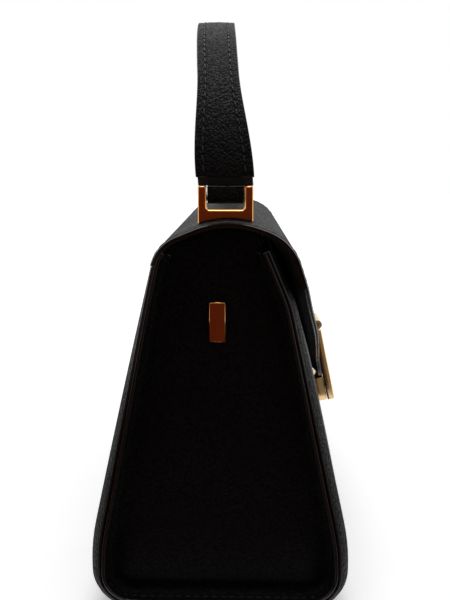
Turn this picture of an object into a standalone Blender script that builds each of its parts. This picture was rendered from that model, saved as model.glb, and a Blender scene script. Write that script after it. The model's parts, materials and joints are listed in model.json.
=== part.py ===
"""Structured top-handle bag with a hinged lid, a tapering front flap and a hinged clasp.

The side outline is one smooth path: down the front panel, under the base, up the back, over the
top and down the flap. Each soft layer is a sheet laid at its own depth under that path.
Metres, +Z up, width along X, front towards -Y, origin at the middle of the base.
"""
import math

import bmesh
import bpy
from mathutils import Matrix, Vector

# Driving sizes of the body
BODY_WIDTH = 0.220
HIP_HALF_DEPTH = 0.0603
HIP_HEIGHT = 0.0327
HIP_RADIUS = 0.120
BASE_CORNER_RADIUS = 0.020
KNEE_HALF_DEPTH = 0.0329
KNEE_HEIGHT = 0.1491
KNEE_RADIUS = 0.060
FRONT_TOP_HALF_DEPTH = 0.0228
FRONT_TOP_HEIGHT = 0.1725
PANEL_CROWN = 0.0015
SEAM_RUN = 0.007
SEAM_PINCH_TOP = 0.0022
SEAM_PINCH_BASE = 0.0043
SEAM_PINCH_HINGE = 0.0008

# Driving sizes of the lid and its flap
SHOULDER_HEIGHT = 0.1739
SHOULDER_RADIUS = 0.018
CREST_FORWARD = 0.0029
CREST_HEIGHT = 0.1862
CREST_RADIUS = 0.040
BROW_HALF_DEPTH = 0.0313
BROW_HEIGHT = 0.1762
BROW_RADIUS = 0.023
FLAP_KNEE_HEIGHT = 0.121
FLAP_KNEE_GAP = 0.0070
FLAP_KNEE_RADIUS = 0.120
FLAP_END_HEIGHT = 0.0845
FLAP_END_GAP = 0.0049
TONGUE_HALF_WIDTH = 0.018
TONGUE_CORNER_RADIUS = 0.012
TAPER_START_BELOW_BROW = 0.010

# Layers of leather, board and lining
CLEARANCE = 0.0003
WRAP_LEATHER = 0.0015
WRAP_BOARD = 0.0008
WRAP_LINING = 0.0008
LID_LEATHER = 0.0012
LID_BOARD = 0.0006
LID_LINING = 0.0007
BOARD_MARGIN = 0.008
HINGE_GAP = 0.0005

# Gussets
GUSSET_LEATHER = 0.0015
GUSSET_BOARD = 0.0008
GUSSET_LINING = 0.0007
GUSSET_RECESS = 0.008
GUSSET_FOLD_RADIUS = 0.003
ARCH_CLEARANCE = 0.0005

# Plaque on each gusset
PLAQUE_WIDTH = 0.0076
PLAQUE_HEIGHT = 0.0182
PLAQUE_THICKNESS = 0.0013
PLAQUE_BEVEL = 0.0005
PLAQUE_CENTRE_HEIGHT = 0.1393
PLAQUE_BACK_OFFSET = 0.0009
PRONG_RADIUS = 0.0007
PRONG_SPACING = 0.011
WASHER_THICKNESS = 0.0004
WASHER_MARGIN = 0.0012

# Brackets that carry the handle
BRACKET_INSET = 0.0185
BRACKET_WIDTH = 0.0240
BRACKET_ARM = 0.0036
BRACKET_LENGTH = 0.0065
BRACKET_TOP_HEIGHT = 0.1977
BRACKET_BASE = 0.0038
BRACKET_CENTRE_FORWARD = 0.0025
BRACKET_CHAMFER = 0.0009
BRACKET_EDGE = 0.0004
PIN_RADIUS = 0.00125
PIN_CLEARANCE = 0.0002
PIN_BELOW_TOP = 0.0052
BACKING_THICKNESS = 0.0010
BACKING_HALF_WIDTH = 0.0050
BACKING_HALF_LENGTH = 0.0095
SCREW_RADIUS = 0.0010
SCREW_HEAD_RADIUS = 0.0020
SCREW_HEAD_THICKNESS = 0.0010
SCREW_SPACING = 0.0100
SCREW_BITE = 0.0022

# Handle
STRAP_END_WIDTH = 0.0255
STRAP_MID_WIDTH = 0.0187
STRAP_STEP = 0.0034
STRAP_UNDER_INSET = 0.0006
STRAP_TAPER_START = 0.006
STRAP_TAPER_END = 0.055
STRAP_LEATHER = 0.0015
STRAP_CORE = 0.0008
STRAP_CORE_INSET = 0.0015
HANDLE_APEX_HEIGHT = 0.2805
HANDLE_LEAN = 0.0063
LOOP_LEATHER = 0.0010
LOOP_SIDE_CLEARANCE = 0.0004

# Clasp: hinged plate on the flap, block on the front panel
KNUCKLE_RADIUS = 0.0026
KNUCKLE_STANDOFF = 0.0004
HINGE_PIN_RADIUS = 0.0010
HINGE_PIN_CLEARANCE = 0.0001
KNUCKLE_SIDE_GAP = 0.0003
CLASP_WIDTH = 0.0200
CLASP_MID_KNUCKLE = 0.0090
CLASP_LENGTH = 0.0463
CLASP_THICKNESS = 0.0040
CLASP_FLAP_GAP = 0.0006
CLASP_TOP_DROP = 0.0032
CLASP_BEVEL = 0.0007
CLASP_HINGE_ABOVE_END = 0.0313
BLOCK_WIDTH = 0.0180
BLOCK_BELOW_TONGUE = 0.0005
BLOCK_FACE_GAP = 0.0004
BLOCK_BEVEL = 0.0005
LEAF_HEIGHT = 0.0075
LEAF_THICKNESS = 0.0010
LEAF_POST_SPACING = 0.0110
MAGNET_RADIUS = 0.0038
MAGNET_THICKNESS = 0.0018
KEEPER_THICKNESS = 0.0012
BLOCK_PLATE_THICKNESS = 0.0010
BLOCK_PLATE_MARGIN = 0.0030
BLOCK_SCREW_SPACING = 0.0110

# Shares and counts
OVERRUN = 0.002
ARC_STEP_DEGREES = 9
ROUND_SIDES = 16
EDGE_STATION_SHARES = (0.0, 0.2, 0.45, 0.72)
HINGE_POSITION_SHARE = 0.5

HALF_WIDTH = BODY_WIDTH / 2
LID_THICKNESS = LID_LEATHER + LID_BOARD + LID_LINING + 2 * CLEARANCE
WRAP_THICKNESS = WRAP_LEATHER + WRAP_BOARD + WRAP_LINING + 2 * CLEARANCE
STRAP_THICKNESS = 2 * STRAP_LEATHER + STRAP_CORE + 2 * CLEARANCE


def side_half_depth(height):
    """Half depth of the straight leaning side at a height, between the hip and the knee."""
    share = (KNEE_HEIGHT - height) / (KNEE_HEIGHT - HIP_HEIGHT)
    return KNEE_HALF_DEPTH + (HIP_HALF_DEPTH - KNEE_HALF_DEPTH) * share


class Path:
    """A polyline in the YZ plane with its corners rounded by tangent arcs."""

    def __init__(self, corners):
        self.points = []
        self.normals = []
        self.lengths = []
        self.corner_spans = []
        self.trace(corners)

    def trace(self, corners):
        """Samples the straight runs and arcs into points, outward normals and lengths."""
        for index, (point, radius) in enumerate(corners):
            if radius == 0:
                neighbour = corners[index + 1][0] if index == 0 else corners[index - 1][0]
                run = (neighbour - point) if index == 0 else (point - neighbour)
                self.add(point, run.normalized())
                continue
            before = (point - corners[index - 1][0]).normalized()
            after = (corners[index + 1][0] - point).normalized()
            turn = before.angle(after)
            tangent = radius * math.tan(turn / 2)
            start = point - before * tangent
            centre = start + Vector((-before.y, before.x)) * radius
            steps = max(2, math.ceil(math.degrees(turn) / ARC_STEP_DEGREES))
            first = len(self.points)
            for step in range(steps + 1):
                spoke = Matrix.Rotation(turn * step / steps, 2) @ (start - centre)
                along = Matrix.Rotation(turn * step / steps, 2) @ before
                self.add(centre + spoke, along)
            self.corner_spans.append((first, len(self.points) - 1))

    def add(self, point, along):
        """Adds one sample, with the outward side on the right of the way along."""
        length = 0.0
        if self.points:
            length = self.lengths[-1] + (point - self.points[-1]).length
        self.points.append(point)
        self.normals.append(Vector((along.y, -along.x)))
        self.lengths.append(length)

    def at(self, length):
        """Point and outward normal at a length along the path."""
        length = min(max(length, 0.0), self.lengths[-1])
        index = 1
        while self.lengths[index] < length:
            index += 1
        span = self.lengths[index] - self.lengths[index - 1]
        share = (length - self.lengths[index - 1]) / span
        point = self.points[index - 1].lerp(self.points[index], share)
        normal = self.normals[index - 1].lerp(self.normals[index], share).normalized()
        return point, normal

    def stations(self, start, end, longest):
        """Lengths from start to end: every sample between, and long runs divided."""
        marks = [start] + [mark for mark in self.lengths if start < mark < end] + [end]
        stations = [start]
        for low, high in zip(marks, marks[1:]):
            parts = max(1, math.ceil((high - low) / longest))
            stations += [low + (high - low) * part / parts for part in range(1, parts + 1)]
        return thinned(stations)


HALVINGS = 40
SHORTEST_STEP_SHARE = 0.002


def thinned(stations):
    """Drops stations that lie too near the one before them."""
    least = SHORTEST_STEP_SHARE * BODY_WIDTH
    kept = [stations[0]]
    for station in stations[1:-1]:
        if station - kept[-1] > least and stations[-1] - station > least:
            kept.append(station)
    return kept + [stations[-1]]


def side_outline():
    """Corners of the whole side outline, front top first and the end of the flap last."""
    flap_end = side_half_depth(FLAP_END_HEIGHT) + PANEL_CROWN + FLAP_END_GAP + LID_THICKNESS
    flap_knee = side_half_depth(FLAP_KNEE_HEIGHT) + FLAP_KNEE_GAP + LID_THICKNESS
    return Path([
        (Vector((-FRONT_TOP_HALF_DEPTH, FRONT_TOP_HEIGHT)), 0),
        (Vector((-KNEE_HALF_DEPTH, KNEE_HEIGHT)), KNEE_RADIUS),
        (Vector((-HIP_HALF_DEPTH, HIP_HEIGHT)), HIP_RADIUS),
        (Vector((-HIP_HALF_DEPTH, 0)), BASE_CORNER_RADIUS),
        (Vector((HIP_HALF_DEPTH, 0)), BASE_CORNER_RADIUS),
        (Vector((HIP_HALF_DEPTH, HIP_HEIGHT)), HIP_RADIUS),
        (Vector((side_half_depth(SHOULDER_HEIGHT), SHOULDER_HEIGHT)), SHOULDER_RADIUS),
        (Vector((-CREST_FORWARD, CREST_HEIGHT)), CREST_RADIUS),
        (Vector((-BROW_HALF_DEPTH, BROW_HEIGHT)), BROW_RADIUS),
        (Vector((-flap_knee, FLAP_KNEE_HEIGHT)), FLAP_KNEE_RADIUS),
        (Vector((-flap_end, FLAP_END_HEIGHT)), 0),
    ])


PATH = side_outline()
KNEE, FRONT_HIP, FRONT_BASE, BACK_BASE, BACK_HIP, SHOULDER, CREST, BROW, FLAP_KNEE = [
    (PATH.lengths[first], PATH.lengths[last]) for first, last in PATH.corner_spans]
HINGE = SHOULDER[0] + (SHOULDER[1] - SHOULDER[0]) * HINGE_POSITION_SHARE
WRAP_END = HINGE - HINGE_GAP / 2
LID_START = HINGE + HINGE_GAP / 2
FLAP_END = PATH.lengths[-1]


def smooth(share):
    """Eases a share from 0 to 1."""
    share = min(max(share, 0.0), 1.0)
    return share * share * (3 - 2 * share)


def pinch(length):
    """How far the seam at the bag's end is drawn in from the panels' outline."""
    if length < FRONT_BASE[0]:
        return SEAM_PINCH_TOP + (SEAM_PINCH_BASE - SEAM_PINCH_TOP) * smooth(length / FRONT_BASE[0])
    share = (length - BACK_BASE[1]) / (HINGE - BACK_BASE[1])
    return SEAM_PINCH_BASE + (SEAM_PINCH_HINGE - SEAM_PINCH_BASE) * smooth(share)


def crown(length, x):
    """How far the front and back panels swell outwards in the middle."""
    across = 1 - (x / HALF_WIDTH) ** 2
    front = length / FRONT_HIP[1]
    back = (length - BACK_HIP[0]) / (HINGE - BACK_HIP[0])
    along = sum(math.sin(math.pi * share) for share in (front, back) if 0 < share < 1)
    return PANEL_CROWN * across * along


def wrap_point(length, x, depth):
    """A point of the body's wrap, under its outer face by a depth."""
    point, normal = PATH.at(length)
    from_seam = min((HALF_WIDTH - abs(x)) / SEAM_RUN, 1.0)
    lift = crown(length, x) - pinch(length) * (1 - from_seam) ** 2 - depth
    place = point + normal * lift
    return Vector((x, place.x, place.y))


def lid_point(length, x, depth):
    """A point of the lid, under its outer face by a depth."""
    point, normal = PATH.at(length)
    place = point - normal * depth
    return Vector((x, place.x, place.y))


def flap_half_width(length, margin=0.0):
    """Half width of the lid and flap at a length, inside a margin."""
    taper_start = BROW[1] + TAPER_START_BELOW_BROW
    corner_start = FLAP_END - TONGUE_CORNER_RADIUS
    if length <= taper_start:
        return HALF_WIDTH - margin
    if length <= corner_start:
        share = (length - taper_start) / (corner_start - taper_start)
        return HALF_WIDTH + (TONGUE_HALF_WIDTH - HALF_WIDTH) * share - margin
    drop = min(length - corner_start, TONGUE_CORNER_RADIUS)
    inner = TONGUE_HALF_WIDTH - TONGUE_CORNER_RADIUS
    return inner + math.sqrt(TONGUE_CORNER_RADIUS ** 2 - drop ** 2) - margin


def make_material(name, colour, roughness, metallic):
    """A Principled material."""
    made = bpy.data.materials.new(name)
    made.use_nodes = True
    shader = made.node_tree.nodes["Principled BSDF"]
    shader.inputs["Base Color"].default_value = (*colour, 1)
    shader.inputs["Roughness"].default_value = roughness
    shader.inputs["Metallic"].default_value = metallic
    return made


def add_object(name, mesh, finish):
    """Puts a finished mesh in the scene under its own name and material."""
    colour, roughness, metallic = FINISHES[finish]
    mesh.name = name
    mesh.materials.clear()
    mesh.materials.append(make_material(name, colour, roughness, metallic))
    mesh.shade_smooth()
    mesh.set_sharp_from_angle(angle=math.radians(SMOOTH_DEGREES))
    piece = bpy.data.objects.new(name, mesh)
    bpy.context.scene.collection.objects.link(piece)
    return piece


def mesh_from(work):
    """Turns a bmesh into a mesh with its faces pointing out."""
    bmesh.ops.recalc_face_normals(work, faces=work.faces[:])
    mesh = bpy.data.meshes.new("shape")
    work.to_mesh(mesh)
    work.free()
    return mesh


def shell_mesh(outer, inner):
    """A closed sheet between two grids of points with the same rows and columns."""
    work = bmesh.new()
    front = [[work.verts.new(point) for point in row] for row in outer]
    back = [[work.verts.new(point) for point in row] for row in inner]
    last_row = len(front) - 1
    last_column = len(front[0]) - 1
    for grid in (front, back):
        for row, next_row in zip(grid, grid[1:]):
            for column in range(last_column):
                work.faces.new((row[column], row[column + 1], next_row[column + 1], next_row[column]))
    rim = [(0, column) for column in range(last_column)]
    rim += [(row, last_column) for row in range(last_row)]
    rim += [(last_row, last_column - column) for column in range(last_column)]
    rim += [(last_row - row, 0) for row in range(last_row)]
    for (row, column), (next_row, next_column) in zip(rim, rim[1:] + rim[:1]):
        work.faces.new((front[row][column], front[next_row][next_column],
                        back[next_row][next_column], back[row][column]))
    return mesh_from(work)


def prism_mesh(points, shift):
    """A closed prism: a flat outline moved along a vector."""
    work = bmesh.new()
    face = work.faces.new([work.verts.new(point) for point in points])
    moved = bmesh.ops.extrude_face_region(work, geom=[face])["geom"]
    bmesh.ops.translate(work, vec=shift, verts=[item for item in moved if isinstance(item, bmesh.types.BMVert)])
    return mesh_from(work)


def rod_mesh(radius, start, end, sides=None):
    """A round rod between two points."""
    run = end - start
    turn = run.to_track_quat("Z", "Y").to_matrix().to_4x4()
    work = bmesh.new()
    bmesh.ops.create_cone(work, cap_ends=True, segments=sides or ROUND_SIDES, radius1=radius,
                          radius2=radius, depth=run.length,
                          matrix=Matrix.Translation((start + end) / 2) @ turn)
    return mesh_from(work)


def bevelled(mesh, width, segments=2):
    """The mesh with its sharp edges bevelled."""
    work = bmesh.new()
    work.from_mesh(mesh)
    sharp = [edge for edge in work.edges if edge.calc_face_angle(0) > math.radians(SMOOTH_DEGREES)]
    bmesh.ops.bevel(work, geom=sharp, offset=width, segments=segments, profile=0.5,
                    affect="EDGES", material=-1)
    return mesh_from(work)


def combined(mesh, operation, others):
    """The mesh united with, or cut by, other closed meshes."""
    for other in others:
        base = bpy.data.objects.new("base", mesh)
        tool = bpy.data.objects.new("tool", other)
        for item in (base, tool):
            bpy.context.scene.collection.objects.link(item)
        step = base.modifiers.new("step", "BOOLEAN")
        step.operation = operation
        step.solver = "EXACT"
        step.object = tool
        evaluated = base.evaluated_get(bpy.context.evaluated_depsgraph_get())
        mesh = bpy.data.meshes.new_from_object(evaluated)
        for item in (base, tool):
            bpy.data.objects.remove(item)
    return mesh


def even_shares(parts):
    """Shares from -1 to 1 in equal steps."""
    return [2 * part / parts - 1 for part in range(parts + 1)]


def sheet_mesh(place, lengths, shares, half_width, outer_depth, inner_depth):
    """A layer laid between two depths, with rows along the path and columns across."""
    grids = []
    for depth in (outer_depth, inner_depth):
        grids.append([[place(length, share * half_width(length), depth) for share in shares]
                      for length in lengths])
    return shell_mesh(*grids)


def wrap_shares():
    """Shares across the wrap, close together where the seams draw it in."""
    edge = [1 - share * SEAM_RUN / HALF_WIDTH for share in EDGE_STATION_SHARES]
    middle = [share * (1 - SEAM_RUN / HALF_WIDTH) for share in even_shares(WRAP_MIDDLE_PARTS)]
    return [-share for share in edge] + middle + edge[::-1]


FINISHES = {
    "leather": ((0.012, 0.011, 0.011), 0.45, 0.0),
    "board": ((0.30, 0.27, 0.22), 0.9, 0.0),
    "lining": ((0.03, 0.028, 0.028), 0.8, 0.0),
    "gold": ((0.85, 0.62, 0.38), 0.22, 1.0),
    "steel": ((0.55, 0.55, 0.56), 0.35, 1.0),
}
SMOOTH_DEGREES = 30
WRAP_MIDDLE_PARTS = 6
BOARD_PARTS = 5
LONGEST_STEP = 0.024


def cut_for(mesh, rods):
    """The mesh with a round hole for each rod, given as radius, start and end."""
    return combined(mesh, "DIFFERENCE", [rod_mesh(radius, start, end) for radius, start, end in rods])


# The body's wrap: leather outside, boards in the middle, lining inside
def wrap_depths():
    """Depths of the outer and inner face of each layer of the wrap."""
    board = WRAP_LEATHER + CLEARANCE
    lining = board + WRAP_BOARD + CLEARANCE
    return {"leather": (0.0, WRAP_LEATHER), "board": (board, board + WRAP_BOARD),
            "lining": (lining, lining + WRAP_LINING)}


def build_wrap():
    """Front panel, base and back as one outer leather, one lining and three boards."""
    depths = wrap_depths()
    gusset_inner = HALF_WIDTH - GUSSET_RECESS - GUSSET_LEATHER
    lengths = PATH.stations(0.0, WRAP_END, LONGEST_STEP)
    leather = sheet_mesh(wrap_point, lengths, wrap_shares(), lambda _: HALF_WIDTH, *depths["leather"])
    lining = sheet_mesh(wrap_point, lengths, even_shares(WRAP_MIDDLE_PARTS),
                        lambda _: gusset_inner - CLEARANCE, *depths["lining"])
    add_object("wrap_leather", cut_for(leather, block_screw_holes()), "leather")
    add_object("wrap_lining", cut_for(lining, block_screw_holes()), "lining")
    board_half_width = gusset_inner - BOARD_MARGIN
    spans = {"front_board": (BOARD_MARGIN, FRONT_BASE[0]), "base_board": (FRONT_BASE[1], BACK_BASE[0]),
             "back_board": (BACK_BASE[1], WRAP_END - BOARD_MARGIN)}
    for name, (start, end) in spans.items():
        board = sheet_mesh(wrap_point, PATH.stations(start, end, LONGEST_STEP), even_shares(BOARD_PARTS),
                           lambda _: board_half_width, *depths["board"])
        if name == "front_board":
            board = cut_for(board, block_screw_holes())
        add_object(name, board, "board")


# The gussets: a tray of leather with its rim turned out and sewn to the wrap
def gusset_outline(side_depth, top_depth):
    """Side points under the wrap and top points under the lid, in the YZ plane."""
    sides = []
    for length in PATH.stations(0.0, WRAP_END, LONGEST_STEP):
        point, normal = PATH.at(length)
        sides.append((point - normal * side_depth(length), normal))
    low, high = sides[0][0].x, sides[-1][0].x
    top = []
    for length in PATH.stations(LID_START, BROW[1], LONGEST_STEP):
        point, normal = PATH.at(length)
        place = point - normal * top_depth
        if low + ARCH_CLEARANCE < place.x < high - ARCH_CLEARANCE:
            top.append(place)
    return sides, top


def gusset_leather_mesh(side):
    """The tray: a flat panel folded out along the sides and base, open along the top."""
    fold = GUSSET_FOLD_RADIUS + GUSSET_LEATHER
    turns = [math.radians(degrees) for degrees in (0, 30, 60, 90)]
    tip = GUSSET_LEATHER + GUSSET_RECESS
    section = [(fold - fold * math.sin(turn), fold - fold * math.cos(turn)) for turn in turns]
    section += [(0.0, tip), (GUSSET_LEATHER, tip)]
    section += [(fold - GUSSET_FOLD_RADIUS * math.sin(turn), fold - GUSSET_FOLD_RADIUS * math.cos(turn))
                for turn in reversed(turns)]
    sides, top = gusset_outline(lambda length: pinch(length) + WRAP_LEATHER + CLEARANCE,
                                LID_THICKNESS + ARCH_CLEARANCE)
    inner_x = HALF_WIDTH - tip
    work = bmesh.new()
    rings = []
    for point, normal in sides:
        ring = []
        for inset, out in section:
            place = point - normal * inset
            ring.append(work.verts.new((side * (inner_x + out), place.x, place.y)))
        rings.append(ring)
    arch = []
    for place in top:
        arch.append([work.verts.new((side * (inner_x + out), place.x, place.y))
                     for out in (0.0, GUSSET_LEATHER)])
    for ring, next_ring in zip(rings, rings[1:]):
        for index in range(len(section) - 1):
            work.faces.new((ring[index], ring[index + 1], next_ring[index + 1], next_ring[index]))
    loop = [(rings[-1][0], rings[-1][-1])] + [tuple(pair) for pair in arch] + [(rings[0][0], rings[0][-1])]
    for (low, high), (next_low, next_high) in zip(loop, loop[1:]):
        work.faces.new((low, high, next_high, next_low))
    work.faces.new(rings[0])
    work.faces.new(rings[-1])
    work.faces.new([ring[0] for ring in rings] + [pair[0] for pair in arch])
    work.faces.new([ring[-1] for ring in rings] + [pair[1] for pair in arch])
    bmesh.ops.triangulate(work, faces=[face for face in work.faces if len(face.verts) > 4])
    return mesh_from(work)


def build_gussets():
    """Leather tray, board, lining, plaque and washer at each end of the bag."""
    inner_face = HALF_WIDTH - GUSSET_RECESS - GUSSET_LEATHER
    board_face = inner_face - CLEARANCE
    washer_face = board_face - GUSSET_BOARD - CLEARANCE
    lining_face = washer_face - WASHER_THICKNESS - CLEARANCE
    for name, side in (("left", -1), ("right", 1)):
        holes = prong_rods(side, PRONG_RADIUS + PIN_CLEARANCE)
        add_object(f"gusset_{name}", cut_for(gusset_leather_mesh(side), holes), "leather")
        flat_sides, flat_top = gusset_outline(lambda _: WRAP_THICKNESS + CLEARANCE,
                                              LID_THICKNESS + ARCH_CLEARANCE)
        outline = [point for point, _ in flat_sides] + flat_top
        board = prism_mesh([(side * board_face, point.x, point.y) for point in outline],
                           (-side * GUSSET_BOARD, 0, 0))
        add_object(f"gusset_board_{name}", cut_for(board, holes), "board")
        lining = prism_mesh([(side * lining_face, point.x, point.y) for point in outline],
                            (-side * GUSSET_LINING, 0, 0))
        add_object(f"gusset_lining_{name}", lining, "lining")
        build_plaque(name, side, washer_face)


def prong_rods(side, radius):
    """The two prongs of a plaque, from its back through the gusset."""
    rods = []
    outer = HALF_WIDTH - GUSSET_RECESS + PLAQUE_THICKNESS / 2
    washer_face = (HALF_WIDTH - GUSSET_RECESS - GUSSET_LEATHER - GUSSET_BOARD - 2 * CLEARANCE)
    for step in (-1, 1):
        height = PLAQUE_CENTRE_HEIGHT + step * PRONG_SPACING / 2
        start = Vector((side * outer, PLAQUE_BACK_OFFSET, height))
        end = Vector((side * (washer_face - WASHER_THICKNESS), PLAQUE_BACK_OFFSET, height))
        rods.append((radius, start, end))
    return rods


def build_plaque(name, side, washer_face):
    """A bevelled metal bar held by two prongs and a washer plate behind the board."""
    face = HALF_WIDTH - GUSSET_RECESS + CLEARANCE
    corners = [(-1, -1), (1, -1), (1, 1), (-1, 1)]
    outline = [(side * face, PLAQUE_BACK_OFFSET + across * PLAQUE_WIDTH / 2,
                PLAQUE_CENTRE_HEIGHT + up * PLAQUE_HEIGHT / 2) for across, up in corners]
    bar = bevelled(prism_mesh(outline, (side * PLAQUE_THICKNESS, 0, 0)), PLAQUE_BEVEL, 1)
    rods = [rod_mesh(*rod) for rod in prong_rods(side, PRONG_RADIUS)]
    add_object(f"plaque_{name}", combined(bar, "UNION", rods), "gold")
    washer_half = PRONG_SPACING / 2 + PRONG_RADIUS + WASHER_MARGIN
    outline = [(side * washer_face, PLAQUE_BACK_OFFSET + across * (PRONG_RADIUS + WASHER_MARGIN),
                PLAQUE_CENTRE_HEIGHT + up * washer_half) for across, up in corners]
    washer = prism_mesh(outline, (-side * WASHER_THICKNESS, 0, 0))
    add_object(f"plaque_washer_{name}", cut_for(washer, prong_rods(side, PRONG_RADIUS + PIN_CLEARANCE)),
               "steel")


# The lid: leather, boards and lining over the top and down the flap
def build_lid():
    """The lid and flap in layers, with holes for the screws and posts."""
    holes = bracket_screw_holes() + leaf_post_rods(SCREW_RADIUS + CLEARANCE)
    board_depth = LID_LEATHER + CLEARANCE
    lining_depth = board_depth + LID_BOARD + CLEARANCE
    corner = FLAP_END - TONGUE_CORNER_RADIUS
    turns = [math.radians(degrees) for degrees in (18, 36, 54, 72, 90)]
    lengths = PATH.stations(LID_START, BROW[1] + TAPER_START_BELOW_BROW, LONGEST_STEP)
    lengths += PATH.stations(lengths[-1], corner, LONGEST_STEP)[1:]
    lengths += [corner + TONGUE_CORNER_RADIUS * math.sin(turn) for turn in turns]
    for name, outer, thickness, finish in (("lid_leather", 0.0, LID_LEATHER, "leather"),
                                           ("lid_lining", lining_depth, LID_LINING, "lining")):
        layer = sheet_mesh(lid_point, lengths, even_shares(2), flap_half_width, outer, outer + thickness)
        add_object(name, cut_for(layer, holes), finish)
    start = LID_START + BOARD_MARGIN
    spans = {"lid_board": PATH.stations(start, BROW[0], LONGEST_STEP),
             "flap_board": PATH.stations(BROW[1], FLAP_END - TONGUE_CORNER_RADIUS, LONGEST_STEP)}
    for name, rows in spans.items():
        board = sheet_mesh(lid_point, rows, even_shares(2),
                           lambda length: flap_half_width(length, BOARD_MARGIN / 2),
                           board_depth, board_depth + LID_BOARD)
        used = [hole for hole in holes if touches(hole, name)]
        add_object(name, cut_for(board, used), "board")


def touches(hole, board_name):
    """Whether a hole belongs to the top board or to the flap's board."""
    on_top = hole[1].z > BROW_HEIGHT
    return on_top == (board_name == "lid_board")


def crest_frame(forward):
    """Length, point and normal on the lid's top where it lies a way in front of its crest."""
    low, high = SHOULDER[1], BROW[0]
    for _ in range(HALVINGS):
        middle = (low + high) / 2
        if PATH.at(middle)[0].x > -forward:
            low = middle
        else:
            high = middle
    return (low, *PATH.at(low))


def bracket_screw_places():
    """The screws of both brackets: x, path point and outward normal."""
    places = []
    for side in (-1, 1):
        for step in (-1, 1):
            _, point, normal = crest_frame(BRACKET_CENTRE_FORWARD + step * SCREW_SPACING / 2)
            places.append((side, step, side * (HALF_WIDTH - BRACKET_INSET), point, normal))
    return places


def along_normal(x, point, normal, lift):
    """A point above the path by a lift along its normal."""
    place = point + normal * lift
    return Vector((x, place.x, place.y))


def bracket_screw_holes():
    """Holes through every layer under the brackets and into their bases."""
    depth = LID_THICKNESS + CLEARANCE + BACKING_THICKNESS
    return [(SCREW_RADIUS + CLEARANCE, along_normal(x, point, normal, -depth - CLEARANCE),
             along_normal(x, point, normal, SCREW_BITE + 2 * CLEARANCE))
            for _, _, x, point, normal in bracket_screw_places()]


def build_brackets():
    """U brackets, their screws and backing plates, and the pins that hold the handle's loops."""
    centre = BRACKET_CENTRE_FORWARD
    back_length = crest_frame(centre - BRACKET_WIDTH / 2)[0]
    front_length = crest_frame(centre + BRACKET_WIDTH / 2)[0]
    under = []
    for length in PATH.stations(back_length, front_length, LONGEST_STEP):
        point, normal = PATH.at(length)
        under.append(point + normal * CLEARANCE)
    base_top = CREST_HEIGHT_AT_TOP + CLEARANCE + BRACKET_BASE
    inner = BRACKET_WIDTH / 2 - BRACKET_ARM
    rest = [(-centre - BRACKET_WIDTH / 2, BRACKET_TOP_HEIGHT), (-centre - inner, BRACKET_TOP_HEIGHT),
            (-centre - inner, base_top + BRACKET_CHAMFER), (-centre - inner + BRACKET_CHAMFER, base_top),
            (-centre + inner - BRACKET_CHAMFER, base_top), (-centre + inner, base_top + BRACKET_CHAMFER),
            (-centre + inner, BRACKET_TOP_HEIGHT), (-centre + BRACKET_WIDTH / 2, BRACKET_TOP_HEIGHT)]
    outline = [(point.x, point.y) for point in under] + rest
    holes = bracket_screw_holes()
    pin_height = BRACKET_TOP_HEIGHT - PIN_BELOW_TOP
    for name, side in (("left", -1), ("right", 1)):
        x = side * (HALF_WIDTH - BRACKET_INSET)
        body = prism_mesh([(x - BRACKET_LENGTH / 2, y, z) for y, z in outline], (BRACKET_LENGTH, 0, 0))
        body = bevelled(body, BRACKET_EDGE, 1)
        own = [hole for hole in holes if hole[1].x * side > 0]
        pin_start = Vector((x, -centre - BRACKET_WIDTH / 2, pin_height))
        pin_end = Vector((x, -centre + BRACKET_WIDTH / 2, pin_height))
        overrun = Vector((0, OVERRUN, 0))
        bore = (PIN_RADIUS + PIN_CLEARANCE, pin_start - overrun, pin_end + overrun)
        add_object(f"bracket_{name}", cut_for(body, own + [bore]), "gold")
        add_object(f"bracket_pin_{name}", rod_mesh(PIN_RADIUS, pin_start, pin_end), "steel")
        depth = LID_THICKNESS + CLEARANCE
        middle = crest_frame(centre)[0]
        rows = PATH.stations(middle - BACKING_HALF_LENGTH, middle + BACKING_HALF_LENGTH, LONGEST_STEP)
        grids = [[[lid_point(length, x + across * BACKING_HALF_WIDTH, layer) for across in (-1, 1)]
                  for length in rows] for layer in (depth, depth + BACKING_THICKNESS)]
        add_object(f"bracket_backing_{name}", cut_for(shell_mesh(*grids), own), "steel")
    for side, step, x, point, normal in bracket_screw_places():
        depth = LID_THICKNESS + 2 * CLEARANCE + BACKING_THICKNESS
        shank = rod_mesh(SCREW_RADIUS, along_normal(x, point, normal, -depth - SCREW_HEAD_THICKNESS / 2),
                         along_normal(x, point, normal, SCREW_BITE))
        head = rod_mesh(SCREW_HEAD_RADIUS, along_normal(x, point, normal, -depth - SCREW_HEAD_THICKNESS),
                        along_normal(x, point, normal, -depth))
        name = ("left" if side < 0 else "right") + ("_front" if step > 0 else "_back")
        add_object(f"bracket_screw_{name}", combined(head, "UNION", [shank]), "steel")


CREST_HEIGHT_AT_TOP = max(point.y for point in PATH.points)


# The handle: outer strap, core and under strap on an arch, with a leather loop at each end
STRAP_BASE = BRACKET_TOP_HEIGHT + CLEARANCE
ARCH_HALF_SPAN = HALF_WIDTH - BRACKET_INSET
ARCH_RISE = HANDLE_APEX_HEIGHT - STRAP_THICKNESS / 2 - STRAP_BASE


def strap_point(angle, across, lift):
    """A point of the handle: an angle along the arch, a way across it and a lift off its middle."""
    place = Vector((-ARCH_HALF_SPAN * math.cos(angle), STRAP_BASE + ARCH_RISE * math.sin(angle)))
    normal = Vector((-math.cos(angle) / ARCH_HALF_SPAN, math.sin(angle) / ARCH_RISE)).normalized()
    place += normal * lift
    lean = HANDLE_LEAN * math.sin(angle)
    return Vector((place.x, -BRACKET_CENTRE_FORWARD + lean + across, place.y))


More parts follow.
